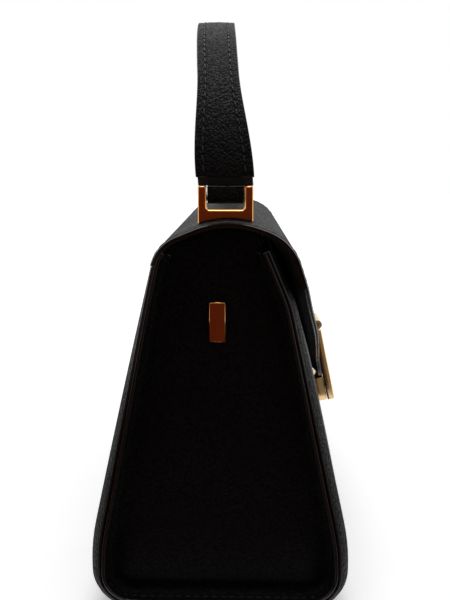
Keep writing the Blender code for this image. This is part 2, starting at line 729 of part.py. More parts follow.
def strap_half_width(angle, inset):
    """Half width of the handle, wide at its ends and slim in the middle."""
    run = min(angle, math.pi - angle) * (ARCH_HALF_SPAN + ARCH_RISE) / 2
    share = smooth((run - STRAP_TAPER_START) / (STRAP_TAPER_END - STRAP_TAPER_START))
    return (STRAP_END_WIDTH + (STRAP_MID_WIDTH - STRAP_END_WIDTH) * share) / 2 - inset


def build_handle():
    """Three straps laid on one another and the loops round the bracket pins."""
    half_core = STRAP_CORE / 2
    layers = (("handle_leather", half_core + CLEARANCE, STRAP_LEATHER, 0.0, STRAP_STEP, "leather"),
              ("handle_core", -half_core, STRAP_CORE, STRAP_CORE_INSET, STRAP_STEP, "board"),
              ("handle_lining", -half_core - CLEARANCE - STRAP_LEATHER, STRAP_LEATHER,
               STRAP_UNDER_INSET, 0.0, "leather"))
    for name, low, thickness, inset, step, finish in layers:
        first = math.asin(step / ARCH_RISE)
        angles = [first + (math.pi - 2 * first) * part / HANDLE_PARTS for part in range(HANDLE_PARTS + 1)]
        grids = [[[strap_point(angle, across * strap_half_width(angle, inset), lift) for across in (-1, 1)]
                  for angle in angles] for lift in (low + thickness, low)]
        add_object(name, shell_mesh(*grids), finish)
    window = BRACKET_WIDTH - 2 * BRACKET_ARM
    bore = PIN_RADIUS + PIN_CLEARANCE
    pin_height = BRACKET_TOP_HEIGHT - PIN_BELOW_TOP
    turns = [math.pi + math.pi * step / LOOP_PARTS for step in range(LOOP_PARTS + 1)]
    for name, side in (("left", -1), ("right", 1)):
        x = side * ARCH_HALF_SPAN
        rings = []
        for radius, top in ((bore + LOOP_LEATHER, BRACKET_TOP_HEIGHT), (bore, BRACKET_TOP_HEIGHT - LOOP_LEATHER)):
            ring = [(x + radius * math.cos(turn), pin_height + radius * math.sin(turn)) for turn in turns]
            rings.append(ring + [(x + radius, top), (x - radius, top)])
        start = -BRACKET_CENTRE_FORWARD - window / 2 + LOOP_SIDE_CLEARANCE
        end = -BRACKET_CENTRE_FORWARD + window / 2 - LOOP_SIDE_CLEARANCE
        add_object(f"handle_loop_{name}", band_mesh(rings, start, end), "leather")


HANDLE_PARTS = 28
LOOP_PARTS = 10
KNUCKLE_PARTS = 18


def band_mesh(rings, start, end):
    """A closed band with an outer and an inner outline in XZ, between two places along Y."""
    work = bmesh.new()
    loops = [[[work.verts.new((x, y, z)) for x, z in ring] for y in (start, end)] for ring in rings]
    count = len(rings[0])
    for index in range(count):
        after = (index + 1) % count
        for near, far in loops:
            work.faces.new((near[index], near[after], far[after], far[index]))
        for place in (0, 1):
            outer, inner = loops[0][place], loops[1][place]
            work.faces.new((outer[index], outer[after], inner[after], inner[index]))
    return mesh_from(work)


# The clasp: a hinged plate on the flap that closes on a block on the front panel
HINGE_POINT = PATH.at(FLAP_END - CLASP_HINGE_ABOVE_END)[0]
CLASP_NORMAL = PATH.at(FLAP_END)[1]
CLASP_DOWN = Vector((CLASP_NORMAL.y, -CLASP_NORMAL.x)) * -1
CLASP_AXIS = HINGE_POINT + CLASP_NORMAL * (KNUCKLE_RADIUS + KNUCKLE_STANDOFF)
PLATE_INNER = CLASP_FLAP_GAP - KNUCKLE_RADIUS - KNUCKLE_STANDOFF
BLOCK_FACE = PLATE_INNER - BLOCK_FACE_GAP
BLOCK_TOP = CLASP_HINGE_ABOVE_END + BLOCK_BELOW_TONGUE


CLASP_PIECES = ("clasp_plate", "clasp_keeper")
LEAF_PIECES = ("clasp_leaf", "clasp_backing", "clasp_hinge_pin")


def clasp_point(x, out, down):
    """A point in the clasp's own frame: across, out from the hinge axis and down the plate."""
    place = CLASP_AXIS + CLASP_NORMAL * out + CLASP_DOWN * down
    return Vector((x, place.x, place.y))


def clasp_box(half_width, out, down, middle=0.0):
    """A box in the clasp's frame."""
    outline = [clasp_point(middle - half_width, *corner) for corner in
               ((out[0], down[0]), (out[1], down[0]), (out[1], down[1]), (out[0], down[1]))]
    return prism_mesh(outline, (2 * half_width, 0, 0))


def clasp_rod(radius, start_x, end_x):
    """A rod on the clasp's hinge axis."""
    return rod_mesh(radius, clasp_point(start_x, 0, 0), clasp_point(end_x, 0, 0))


def knuckle_arc(x, first, last):
    """Points round the knuckle from one angle to another, measured from outward towards down."""
    turns = [first + (last - first) * step / KNUCKLE_PARTS for step in range(KNUCKLE_PARTS + 1)]
    return [clasp_point(x, KNUCKLE_RADIUS * math.cos(turn), KNUCKLE_RADIUS * math.sin(turn)) for turn in turns]


def panel_point(down, depth):
    """The front panel's middle, under its face by a depth, level with a place down the plate."""
    low, high = KNEE[1], FRONT_HIP[0]
    for _ in range(HALVINGS):
        middle = (low + high) / 2
        place = wrap_point(middle, 0.0, depth)
        offset = Vector((place.y, place.z)) - CLASP_AXIS
        if offset.dot(CLASP_DOWN) < down:
            low = middle
        else:
            high = middle
    place = wrap_point(low, 0.0, depth)
    return Vector((place.y, place.z))


def block_centre():
    """Middle of the block on the front panel's face, and the panel's outward direction there."""
    top = panel_point(BLOCK_TOP, 0.0)
    end = panel_point(CLASP_LENGTH, 0.0)
    along = (end - top).normalized()
    return (top + end) / 2, Vector((along.y, -along.x))


def block_screw_holes():
    """Holes for the two screws that hold the block, through the panel's layers."""
    centre, outward = block_centre()
    deep = WRAP_THICKNESS + 2 * CLEARANCE + BLOCK_PLATE_THICKNESS
    holes = []
    for step in (-1, 1):
        x = step * BLOCK_SCREW_SPACING / 2
        holes.append((SCREW_RADIUS + CLEARANCE, along_normal(x, centre, outward, -deep - CLEARANCE),
                      along_normal(x, centre, outward, SCREW_BITE + CLEARANCE)))
    return holes


def leaf_post_rods(radius):
    """The two posts that hold the clasp's leaf through the flap."""
    middle = sum(leaf_span()) / 2
    deep = LID_THICKNESS + 2 * CLEARANCE + BACKING_THICKNESS
    rods = []
    for step in (-1, 1):
        x = step * LEAF_POST_SPACING / 2
        rods.append((radius, lid_point(middle, x, deep),
                     lid_point(middle, x, -KNUCKLE_STANDOFF - LEAF_THICKNESS / 2)))
    return rods


def leaf_span():
    """Lengths along the flap at which the clasp's leaf starts and ends."""
    end = FLAP_END - CLASP_HINGE_ABOVE_END - KNUCKLE_RADIUS - KNUCKLE_SIDE_GAP
    return end - LEAF_HEIGHT, end


def build_clasp():
    """Leaf with two outer knuckles, plate with the middle knuckle, pin, magnet and keeper."""
    half = CLASP_WIDTH / 2
    leaf_low = -KNUCKLE_RADIUS - KNUCKLE_SIDE_GAP
    leaf_face = -KNUCKLE_RADIUS + LEAF_THICKNESS
    meeting = math.acos(leaf_face / KNUCKLE_RADIUS)
    outline = [clasp_point(-half, -KNUCKLE_RADIUS, leaf_low - LEAF_HEIGHT)]
    outline += knuckle_arc(-half, math.pi, -meeting)
    outline.append(clasp_point(-half, leaf_face, leaf_low - LEAF_HEIGHT))
    leaf = prism_mesh(outline, (CLASP_WIDTH, 0, 0))
    reach = KNUCKLE_RADIUS + OVERRUN
    window = clasp_box(CLASP_MID_KNUCKLE / 2 + KNUCKLE_SIDE_GAP, (-reach, reach), (leaf_low, reach))
    bore = clasp_rod(HINGE_PIN_RADIUS + HINGE_PIN_CLEARANCE, -half - OVERRUN, half + OVERRUN)
    posts = [rod_mesh(*rod) for rod in leaf_post_rods(SCREW_RADIUS)]
    base = combined(combined(leaf, "DIFFERENCE", [window, bore]), "UNION", posts)
    add_object("clasp_leaf", base, "gold")
    depth = LID_THICKNESS + CLEARANCE
    rows = PATH.stations(*leaf_span(), LONGEST_STEP)
    grids = [[[lid_point(length, across * half, layer) for across in (-1, 1)] for length in rows]
             for layer in (depth, depth + BACKING_THICKNESS)]
    add_object("clasp_backing", cut_for(shell_mesh(*grids), leaf_post_rods(SCREW_RADIUS + CLEARANCE)), "steel")

    plate_out = (PLATE_INNER, PLATE_INNER + CLASP_THICKNESS)
    plate = bevelled(clasp_box(half, plate_out, (CLASP_TOP_DROP, CLASP_LENGTH)), CLASP_BEVEL, 3)
    mid_half = CLASP_MID_KNUCKLE / 2
    neck = (PLATE_INNER + 2 * CLASP_BEVEL, KNUCKLE_RADIUS / 2)
    neck_low = CLASP_TOP_DROP + 2 * CLASP_BEVEL
    first, last = [math.acos(out / KNUCKLE_RADIUS) for out in neck]
    outline = knuckle_arc(-mid_half, first, last + math.tau)
    outline = [clasp_point(-mid_half, neck[0], neck_low)] + outline + [clasp_point(-mid_half, neck[1], neck_low)]
    plate = combined(plate, "UNION", [prism_mesh(outline, (CLASP_MID_KNUCKLE, 0, 0))])
    magnet_down = (BLOCK_TOP + CLASP_LENGTH) / 2
    pocket = rod_mesh(MAGNET_RADIUS + CLEARANCE, clasp_point(0, PLATE_INNER - OVERRUN, magnet_down),
                      clasp_point(0, PLATE_INNER + KEEPER_THICKNESS + CLEARANCE, magnet_down))
    bore = clasp_rod(HINGE_PIN_RADIUS + HINGE_PIN_CLEARANCE, -half - OVERRUN, half + OVERRUN)
    add_object("clasp_plate", combined(plate, "DIFFERENCE", [pocket, bore]), "gold")
    add_object("clasp_hinge_pin", clasp_rod(HINGE_PIN_RADIUS, -half, half), "steel")
    keeper = rod_mesh(MAGNET_RADIUS, clasp_point(0, PLATE_INNER, magnet_down),
                      clasp_point(0, PLATE_INNER + KEEPER_THICKNESS, magnet_down))
    add_object("clasp_keeper", keeper, "steel")
    build_block(magnet_down)


def build_block(magnet_down):
    """The block on the front panel with its magnet, screws and backing plate."""
    back_top = panel_point(BLOCK_TOP, -CLEARANCE)
    back_end = panel_point(CLASP_LENGTH, -CLEARANCE)
    half = BLOCK_WIDTH / 2
    outline = [clasp_point(-half, BLOCK_FACE, BLOCK_TOP), clasp_point(-half, BLOCK_FACE, CLASP_LENGTH),
               Vector((-half, back_end.x, back_end.y)), Vector((-half, back_top.x, back_top.y))]
    block = bevelled(prism_mesh(outline, (BLOCK_WIDTH, 0, 0)), BLOCK_BEVEL, 2)
    pocket = (MAGNET_RADIUS + CLEARANCE, clasp_point(0, BLOCK_FACE + OVERRUN, magnet_down),
              clasp_point(0, BLOCK_FACE - MAGNET_THICKNESS - CLEARANCE, magnet_down))
    add_object("clasp_block", cut_for(block, [pocket] + block_screw_holes()), "gold")
    magnet = rod_mesh(MAGNET_RADIUS, clasp_point(0, BLOCK_FACE - MAGNET_THICKNESS, magnet_down),
                      clasp_point(0, BLOCK_FACE, magnet_down))
    add_object("clasp_magnet", magnet, "steel")
    centre, outward = block_centre()
    face = WRAP_THICKNESS + CLEARANCE
    upward = Vector((outward.y, -outward.x))
    reach = (CLASP_LENGTH - BLOCK_TOP) / 2 - BLOCK_PLATE_MARGIN
    outline = []
    for inward, along in ((face, -reach), (face + BLOCK_PLATE_THICKNESS, -reach),
                          (face + BLOCK_PLATE_THICKNESS, reach), (face, reach)):
        place = centre - outward * inward + upward * along
        outline.append((-half, place.x, place.y))
    plate = prism_mesh(outline, (BLOCK_WIDTH, 0, 0))
    add_object("clasp_block_backing", cut_for(plate, block_screw_holes()), "steel")
    deep = face + BLOCK_PLATE_THICKNESS + CLEARANCE
    for name, step in (("left", -1), ("right", 1)):
        x = step * BLOCK_SCREW_SPACING / 2
        shank = rod_mesh(SCREW_RADIUS, along_normal(x, centre, outward, -deep - SCREW_HEAD_THICKNESS / 2),
                         along_normal(x, centre, outward, SCREW_BITE))
        head = rod_mesh(SCREW_HEAD_RADIUS, along_normal(x, centre, outward, -deep - SCREW_HEAD_THICKNESS),
                        along_normal(x, centre, outward, -deep))
        add_object(f"clasp_block_screw_{name}", combined(head, "UNION", [shank]), "steel")


def add_joint(name, place, pieces, parent=None):
    """An empty on a joint's axis, with the pieces that turn about it."""
    joint = bpy.data.objects.new(name, None)
    bpy.context.scene.collection.objects.link(joint)
    joint.location = place
    for piece in pieces:
        piece.parent = joint
        piece.matrix_parent_inverse = Matrix.Translation(-place)
    if parent:
        joint.parent = parent
        joint.matrix_parent_inverse = Matrix.Translation(-parent.location)
    return joint


def main():
    """Clears the scene, builds every piece and hangs the moving ones on their joints."""
    for item in list(bpy.data.objects):
        bpy.data.objects.remove(item)
    build_wrap()
    build_gussets()
    build_clasp()
    clasp = [bpy.data.objects[name] for name in CLASP_PIECES]
    fixed = [piece for piece in bpy.data.objects if piece.name not in CLASP_PIECES + LEAF_PIECES]
    build_lid()
    build_brackets()
    build_handle()
    lid = [piece for piece in bpy.data.objects if piece not in fixed + clasp]
    hinge = PATH.at(HINGE)[0]
    lid_joint = add_joint("lid_hinge", Vector((0, hinge.x, hinge.y)), lid)
    add_joint("clasp_hinge", clasp_point(0, 0, 0), clasp, lid_joint)


main()
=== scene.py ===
"""Dresses the structured top-handle bag: grained leather, painted edges, stitching and gold plate."""
import bisect
import json
import math

import bmesh
import bpy
from mathutils import Matrix, Vector, noise


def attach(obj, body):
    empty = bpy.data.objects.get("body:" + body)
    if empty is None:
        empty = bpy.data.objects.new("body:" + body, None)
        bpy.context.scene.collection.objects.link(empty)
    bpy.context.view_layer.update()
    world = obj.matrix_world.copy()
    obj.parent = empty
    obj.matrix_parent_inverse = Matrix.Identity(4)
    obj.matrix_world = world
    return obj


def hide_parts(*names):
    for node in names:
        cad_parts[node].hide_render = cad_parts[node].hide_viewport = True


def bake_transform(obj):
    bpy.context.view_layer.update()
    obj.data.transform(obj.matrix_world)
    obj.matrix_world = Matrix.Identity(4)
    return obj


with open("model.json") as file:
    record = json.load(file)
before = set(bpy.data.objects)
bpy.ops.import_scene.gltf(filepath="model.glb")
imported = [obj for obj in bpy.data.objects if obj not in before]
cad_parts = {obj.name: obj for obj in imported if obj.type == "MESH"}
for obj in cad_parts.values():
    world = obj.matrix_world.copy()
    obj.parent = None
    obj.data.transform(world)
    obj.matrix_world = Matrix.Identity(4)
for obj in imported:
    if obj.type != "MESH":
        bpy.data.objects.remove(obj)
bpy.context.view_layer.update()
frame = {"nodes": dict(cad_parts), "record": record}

bl_info = {
    "name": "Structured Top-Handle Bag",
    "version": (1, 0, 0),
    "blender": (4, 5, 0),
    "location": "View3D > Sidebar > Bag",
    "description": "Builds the leather, stitching, hardware finishes and stage of a hinged-lid bag",
    "category": "Object",
}

MM = 0.001
NEARLY_ZERO = 1e-9

# Body
HALF_WIDTH = 0.110
MICROMETRE_DIGITS = 6
HIP_HALF_DEPTH, HIP_HEIGHT, HIP_RADIUS = 0.0603, 0.0327, 0.105
BASE_RADIUS = 0.020
KNEE_HALF_DEPTH, KNEE_HEIGHT, KNEE_RADIUS = 0.0329, 0.1491, 0.060
FRONT_TOP_HALF_DEPTH, FRONT_TOP_HEIGHT = 0.0228, 0.1725
PANEL_CROWN = 0.0038
SEAM_RUN = 0.007
PINCH_TOP, PINCH_BASE, PINCH_HINGE = 0.0022, 0.0043, 0.0008
HINGE_GAP = 0.0005
SEAM_BITE = 0.0003
CHANNEL_HALF_WIDTH = 0.00075

# Slow unevenness of the panels: waves per metre across and along, place in the noise and share
SWELL_WAVES = ((16, 14, 3.1, 1.0), (37, 31, 8.2, 0.5))
SWELL_SEAM_RUN, SWELL_BASE_RUN, SWELL_LID_RUN = 0.021, 0.018, 0.020
CLASP_STILL_HALF_WIDTH, CLASP_STILL_RUN = 0.012, 0.020

# Layers from the outer face inwards, a gap apart
GAP = 0.0003
WRAP_LEATHER, WRAP_BOARD, WRAP_LINING = 0.0015, 0.0008, 0.0008
WRAP_LINING_DEPTH = WRAP_LEATHER + WRAP_BOARD + 2 * GAP
LID_LEATHER, LID_BOARD, LID_LINING = 0.0012, 0.0006, 0.0007
LID_LINING_DEPTH = LID_LEATHER + LID_BOARD + 2 * GAP
LID_THICKNESS = LID_LINING_DEPTH + LID_LINING
RIM_RUN = 0.0065
EDGE_ROLL, EDGE_ROLL_RUN = 0.0005, 0.0016

# Lid and flap
SHOULDER_HEIGHT, SHOULDER_RADIUS = 0.1739, 0.018
CREST_FORWARD, CREST_HEIGHT, CREST_RADIUS = 0.0029, 0.1862, 0.040
BROW_HALF_DEPTH, BROW_HEIGHT, BROW_RADIUS = 0.0313, 0.1762, 0.023
FLAP_KNEE_HEIGHT, FLAP_KNEE_GAP, FLAP_KNEE_RADIUS = 0.1210, 0.0070, 0.120
FLAP_END_HEIGHT, FLAP_END_GAP = 0.0845, 0.0064
TONGUE_HALF_WIDTH = 0.018
TONGUE_CORNER = 0.012
TAPER_DROP = 0.010
FLAP_PAD = 0.0032
FLAP_PAD_SIDE_RUN, FLAP_PAD_TOP_RUN, FLAP_PAD_TIP_RUN = 0.010, 0.014, 0.009
FLAP_PAD_TIP_GAP = 0.0015

# Gusset
GUSSET_LEATHER = 0.0015
GUSSET_RECESS = 0.008
GUSSET_FOLD = 0.003
GUSSET_SWELL = 0.0024
ARCH_GAP = 0.0005
ARCH_FRONT = -0.0170
GUSSET_LINING = 0.0007
GUSSET_LINING_FACE = 0.0984
GUSSET_WAVES, GUSSET_LINING_WAVES = 1.4, 0.8
GUSSET_FOLD_TURNS = [math.radians(degrees) for degrees in (18, 36, 54, 72, 90)]
FLANGE_SHARES = (0.3, 0.6, 0.9, 1.0)

# Handle
STRAP_SPAN = 0.0915
STRAP_BASE = 0.1980
STRAP_RISE = 0.0803
STRAP_FORWARD = 0.0025
STRAP_LEAN = 0.0063
STRAP_END_WIDTH, STRAP_MID_WIDTH = 0.0255, 0.0187
STRAP_TAPER = (0.006, 0.055)
STRAP_STEP = 0.0034
STRAP_LEATHER = 0.0015
STRAP_CORE = 0.0008
STRAP_UNDER_INSET = 0.0006
STRAP_REST = 0.0003
STRAP_CROWN, STRAP_WAVE = 0.00035, 0.00012
STRAP_WAVES = (9, 2)
STRAP_COLUMNS = 8
STRAP_ROW_ANGLE, STITCH_ROW_ANGLE = math.radians(2.2), math.radians(1.5)
STRAP_EDGE_GAPS, STRAP_SEAM_GAPS = (0.0, 0.00035, 0.0011), (-0.0009, -0.0004, 0.0, 0.0004)
STRAP_MIDDLE_GAP = 0.0009
PIN_HEIGHT = 0.1925
LOOP_TOP = 0.1977
LOOP_RADIUS = 0.00245
LOOP_LEATHER = 0.0010
LOOP_SPAN_Y = (-0.0105, 0.0055)
LOOP_STEP = 0.002
LOOP_PARTS = 16
LOOP_ROUND_SHARE = 0.5
UPPER_STRAP_START = math.asin(STRAP_STEP / STRAP_RISE)


class Outline:
    """The bag's side outline in the YZ plane, as points with outward normals at lengths along it."""

    ARC_STEP = math.radians(3)
    RUN_STEP = 0.004

    def __init__(self, corners):
        self.points, self.normals, self.lengths, self.corners = [], [], [], []
        places = [Vector((y, z)) for y, z, _ in corners]
        for index in range(1, len(corners) - 1):
            before = (places[index] - places[index - 1]).normalized()
            after = (places[index + 1] - places[index]).normalized()
            radius = corners[index][2]
            turn = before.angle(after)
            start = places[index] - before * radius * math.tan(turn / 2)
            self.add_run(self.points[-1] if self.points else places[0], start, before)
            centre = start + Vector((-before.y, before.x)) * radius
            steps = max(2, math.ceil(turn / self.ARC_STEP))
            first = self.lengths[-1]
            for step in range(1, steps + 1):
                spin = Matrix.Rotation(turn * step / steps, 2)
                self.add(centre + spin @ (start - centre), spin @ before)
            self.corners.append((first, self.lengths[-1]))
        self.add_run(self.points[-1], places[-1], after)

    def add_run(self, start, end, along):
        """Adds a straight run in short steps."""
        steps = max(1, math.ceil((end - start).length / self.RUN_STEP))
        first = 0 if not self.points else 1
        for step in range(first, steps + 1):
            self.add(start.lerp(end, step / steps), along)

    def add(self, point, along):
        """Adds one sample."""
        length = self.lengths[-1] + (point - self.points[-1]).length if self.points else 0.0
        self.points.append(point.copy())
        self.normals.append(Vector((along.y, -along.x)))
        self.lengths.append(length)

    def at(self, length):
        """Point and outward normal at a length."""
        length = min(max(length, 0.0), self.lengths[-1])
        high = bisect.bisect_left(self.lengths, length, 1, len(self.lengths) - 1)
        low = high - 1
        span = max(self.lengths[high] - self.lengths[low], NEARLY_ZERO)
        share = (length - self.lengths[low]) / span
        normal = self.normals[low].lerp(self.normals[high], share).normalized()
        return self.points[low].lerp(self.points[high], share), normal


def side_half_depth(height):
    """Half depth of the straight leaning side at a height, to a micrometre."""
    share = (KNEE_HEIGHT - height) / (KNEE_HEIGHT - HIP_HEIGHT)
    return round(KNEE_HALF_DEPTH + (HIP_HALF_DEPTH - KNEE_HALF_DEPTH) * share, MICROMETRE_DIGITS)


# Corners as y, z and radius, from the top of the front panel to the end of the flap
OUTLINE = Outline((
    (-FRONT_TOP_HALF_DEPTH, FRONT_TOP_HEIGHT, 0.0),
    (-KNEE_HALF_DEPTH, KNEE_HEIGHT, KNEE_RADIUS),
    (-HIP_HALF_DEPTH, HIP_HEIGHT, HIP_RADIUS),
    (-HIP_HALF_DEPTH, 0.0, BASE_RADIUS),
    (HIP_HALF_DEPTH, 0.0, BASE_RADIUS),
    (HIP_HALF_DEPTH, HIP_HEIGHT, HIP_RADIUS),
    (side_half_depth(SHOULDER_HEIGHT), SHOULDER_HEIGHT, SHOULDER_RADIUS),
    (-CREST_FORWARD, CREST_HEIGHT, CREST_RADIUS),
    (-BROW_HALF_DEPTH, BROW_HEIGHT, BROW_RADIUS),
    (-side_half_depth(FLAP_KNEE_HEIGHT) - FLAP_KNEE_GAP - LID_THICKNESS, FLAP_KNEE_HEIGHT, FLAP_KNEE_RADIUS),
    (-side_half_depth(FLAP_END_HEIGHT) - FLAP_END_GAP - LID_THICKNESS, FLAP_END_HEIGHT, 0.0)))
KNEE, FRONT_HIP, FRONT_BASE, BACK_BASE, BACK_HIP, SHOULDER, CREST, BROW, FLAP_KNEE = OUTLINE.corners
HINGE = sum(SHOULDER) / 2
FLAP_END = OUTLINE.lengths[-1]
WRAP_TOP = SHOULDER[0]
LID_SEAM = SHOULDER[0] + GAP
FRONT_CORNER = sum(FRONT_BASE) / 2
BACK_CORNER = sum(BACK_BASE) / 2
GUSSET_TOP = HINGE - HINGE_GAP / 2


def smooth(share):
    """Eases a share from 0 to 1."""
    share = min(max(share, 0.0), 1.0)
    return share * share * (3 - 2 * share)


def pinch(length):
    """How far the seam at the bag's end is drawn in."""
    if length < FRONT_BASE[0]:
        return PINCH_TOP + (PINCH_BASE - PINCH_TOP) * smooth(length / FRONT_BASE[0])
    share = (length - BACK_BASE[1]) / (HINGE - BACK_BASE[1])
    return PINCH_BASE + (PINCH_HINGE - PINCH_BASE) * smooth(share)


def channel(from_edge):
    """Depth of the shallow channel that a tight seam draws into the leather."""
    gap = (from_edge - settings().stitch_inset) / CHANNEL_HALF_WIDTH
    return settings().channel * math.exp(-gap * gap)


def softness(length, x):
    """Slow unevenness of stretched leather, kept off the seams, the clasp and the base."""
    swell = sum(share * noise.noise(Vector((x * across, length * along, seed)))
                for across, along, seed, share in SWELL_WAVES)
    edge = smooth((HALF_WIDTH - abs(x)) / SWELL_SEAM_RUN)
    clasp = smooth((abs(x) - CLASP_STILL_HALF_WIDTH) / CLASP_STILL_RUN)
    above_base = max(FRONT_BASE[0] - length, length - BACK_BASE[1])
    return settings().softness * swell * edge * clasp * smooth(above_base / SWELL_BASE_RUN)


def wrap_point(length, x, depth=0.0):
    """A point of the body's wrap under its outer face."""
    point, normal = OUTLINE.at(length)
    across = 1 - (x / HALF_WIDTH) ** 2
    shares = (length / FRONT_HIP[1], (length - BACK_HIP[0]) / (HINGE - BACK_HIP[0]))
    crown = sum(math.sin(math.pi * share) for share in shares if 0 < share < 1)
    from_seam = min((HALF_WIDTH - abs(x)) / SEAM_RUN, 1.0)
    lift = PANEL_CROWN * across * crown - pinch(length) * (1 - from_seam) ** 2 - depth
    lift += softness(length, x)
    if depth == 0.0:
        lift -= channel(HALF_WIDTH - abs(x))
    place = point + normal * lift
    return Vector((x, place.x, place.y))


def flap_pad(length, x):
    """How far the padding inside the flap swells its lining."""
    from_edge = smooth((flap_half_width(length) - abs(x)) / FLAP_PAD_SIDE_RUN)
    from_top = smooth((length - BROW[0]) / FLAP_PAD_TOP_RUN)
    from_tip = smooth((FLAP_END - FLAP_PAD_TIP_GAP - length) / FLAP_PAD_TIP_RUN)
    return FLAP_PAD * from_edge * from_top * from_tip


def lid_point(length, x, depth=0.0):
    """A point of the lid under its outer face."""
    point, normal = OUTLINE.at(length)
    from_edge = flap_half_width(length) - abs(x)
    lift = softness(length, x) * smooth((length - BROW[1]) / SWELL_LID_RUN) - depth
    lift -= EDGE_ROLL * (1 - smooth(from_edge / EDGE_ROLL_RUN))
    if depth > LID_LEATHER:
        rim = 1 - smooth(from_edge / RIM_RUN)
        if length > FLAP_END - RIM_RUN:
            rim = max(rim, 1 - smooth((FLAP_END - length) / RIM_RUN))
        lift += (depth - LID_LEATHER) * rim - flap_pad(length, x)
    place = point + normal * lift
    return Vector((x, place.x, place.y))


def flap_half_width(length):
    """Half width of the lid and of the flap as it narrows to its tongue."""
    taper_start = BROW[1] + TAPER_DROP
    corner_start = FLAP_END - TONGUE_CORNER
    if length <= taper_start:
        return HALF_WIDTH
    if length <= corner_start:
        share = (length - taper_start) / (corner_start - taper_start)
        return HALF_WIDTH + (TONGUE_HALF_WIDTH - HALF_WIDTH) * share
    drop = min(length - corner_start, TONGUE_CORNER)
    return TONGUE_HALF_WIDTH - TONGUE_CORNER + math.sqrt(TONGUE_CORNER ** 2 - drop ** 2)


def strap_point(angle, across, lift):
    """A point of the handle at an angle along its arch."""
    place = Vector((-STRAP_SPAN * math.cos(angle), STRAP_BASE + STRAP_RISE * math.sin(angle)))
    normal = Vector((-math.cos(angle) / STRAP_SPAN, math.sin(angle) / STRAP_RISE)).normalized()
    place += normal * lift
    return Vector((place.x, -STRAP_FORWARD + STRAP_LEAN * math.sin(angle) + across, place.y))


def strap_half_width(angle, inset=0.0):
    """Half width of the handle, slimmer in the middle."""
    run = min(angle, math.pi - angle) * (STRAP_SPAN + STRAP_RISE) / 2
    share = smooth((run - STRAP_TAPER[0]) / (STRAP_TAPER[1] - STRAP_TAPER[0]))
    return (STRAP_END_WIDTH + (STRAP_MID_WIDTH - STRAP_END_WIDTH) * share) / 2 - inset


# Meshes
SEAM_GAPS = [gap * MM for gap in (0, 0.7, 1.6, 2.6, 3.2, 3.7, 4.2, 4.9, 6.2)]
SEAM_COLUMNS_END = 0.0077
PANEL_STEP, LINING_STEP = 0.004, 0.005
LONGEST_ROW, SHORTEST_ROW = 0.0035, 0.0004
MERGE = 1e-6
SHARP_ANGLE, CRISP_ANGLE, FLAT_ANGLE = math.radians(50), math.radians(38), math.radians(1.5)


def mapped_grid(columns, rows, place):
    """A bmesh grid whose corners are placed by column and row."""
    work = bmesh.new()
    bmesh.ops.create_grid(work, x_segments=len(columns) - 1, y_segments=len(rows) - 1, size=1.0)
    for vert in work.verts:
        column = columns[round((vert.co.x + 1) / 2 * (len(columns) - 1))]
        row = rows[round((vert.co.y + 1) / 2 * (len(rows) - 1))]
        vert.co = place(column, row)
    return work


def face_outward(work, toward):
    """Turns the faces of an open sheet so that they look the way a test direction says."""
    work.normal_update()
    total = sum(face.normal.dot(toward(face.calc_center_median())) * face.calc_area() for face in work.faces)
    if total < 0:
        bmesh.ops.reverse_faces(work, faces=work.faces[:])
    return work


def new_piece(name, work, materials):
    """A named object from a bmesh, at the origin, shaded smooth."""
    mesh = bpy.data.meshes.new(name)
    work.to_mesh(mesh)
    work.free()
    for material in materials:
        mesh.materials.append(material)
    mesh.shade_smooth()
    piece = bpy.data.objects.new(name, mesh)
    bpy.context.scene.collection.objects.link(piece)
    return piece


def layer(name, work, materials, thickness, rounding=1.0):
    """A piece from an open sheet, with thickness inwards, a painted rim and softly rounded edges."""
    piece = new_piece(name, work, materials)
    shell = piece.modifiers.new("Thickness", "SOLIDIFY")
    shell.thickness = thickness
    shell.offset = -1
    shell.material_offset = len(materials) - 1
    shell.material_offset_rim = 1
    rim = piece.modifiers.new("Rim", "BEVEL")
    rim.limit_method = "ANGLE"
    rim.angle_limit = SHARP_ANGLE
    rim.width = settings().edge_round * rounding
    rim.segments = 3
    rim.material = 1
    return piece


def spread(start, end, step):
    """Numbers from start to end in even steps of about a given size."""
    count = max(1, round((end - start) / step))
    return [start + (end - start) * index / count for index in range(count + 1)]


def seam_columns():
    """Places across the bag, closer together at the seams."""
    edge = [HALF_WIDTH - gap for gap in SEAM_GAPS]
    inner = spread(SEAM_COLUMNS_END - HALF_WIDTH, HALF_WIDTH - SEAM_COLUMNS_END, PANEL_STEP)
    return [-place for place in edge] + inner + edge[::-1]


def path_rows(start, end):
    """Lengths from start to end that keep the outline's own samples."""
    marks = [start]
    for mark in OUTLINE.lengths:
        if marks[-1] + SHORTEST_ROW < mark < end - SHORTEST_ROW:
            marks.append(mark)
    marks.append(end)
    rows = [start]
    for low, high in zip(marks, marks[1:]):
        rows += spread(low, high, LONGEST_ROW)[1:] if high - low > LONGEST_ROW else [high]
    return rows


def leather_materials():
    """Grain outside, edge paint on the rim, flesh side inside."""
    return [pebbled_calf(), edge_paint(), flesh_side()]


def cad_copy(name, body, material):
    """A copy of a gold node, standing for it: flat faces merged, smooth shading between crisp edges."""
    work = bmesh.new()
    work.from_mesh(frame["nodes"][name].data)
    bmesh.ops.remove_doubles(work, verts=work.verts[:], dist=2 * MERGE)
    bmesh.ops.dissolve_limit(work, angle_limit=FLAT_ANGLE, verts=work.verts[:], edges=work.edges[:])
    piece = new_piece(f"{name}_finished", work, [material])
    piece.data.set_sharp_from_angle(angle=CRISP_ANGLE)
    dress(piece, body, [name])


STITCH_LENGTH_SHARE = 0.40
STITCH_HEIGHT_SHARE, STITCH_SUNK_SHARE = 0.42, 0.18
STITCH_LEAN = math.radians(7)
STITCH_BLUNTNESS = 0.8


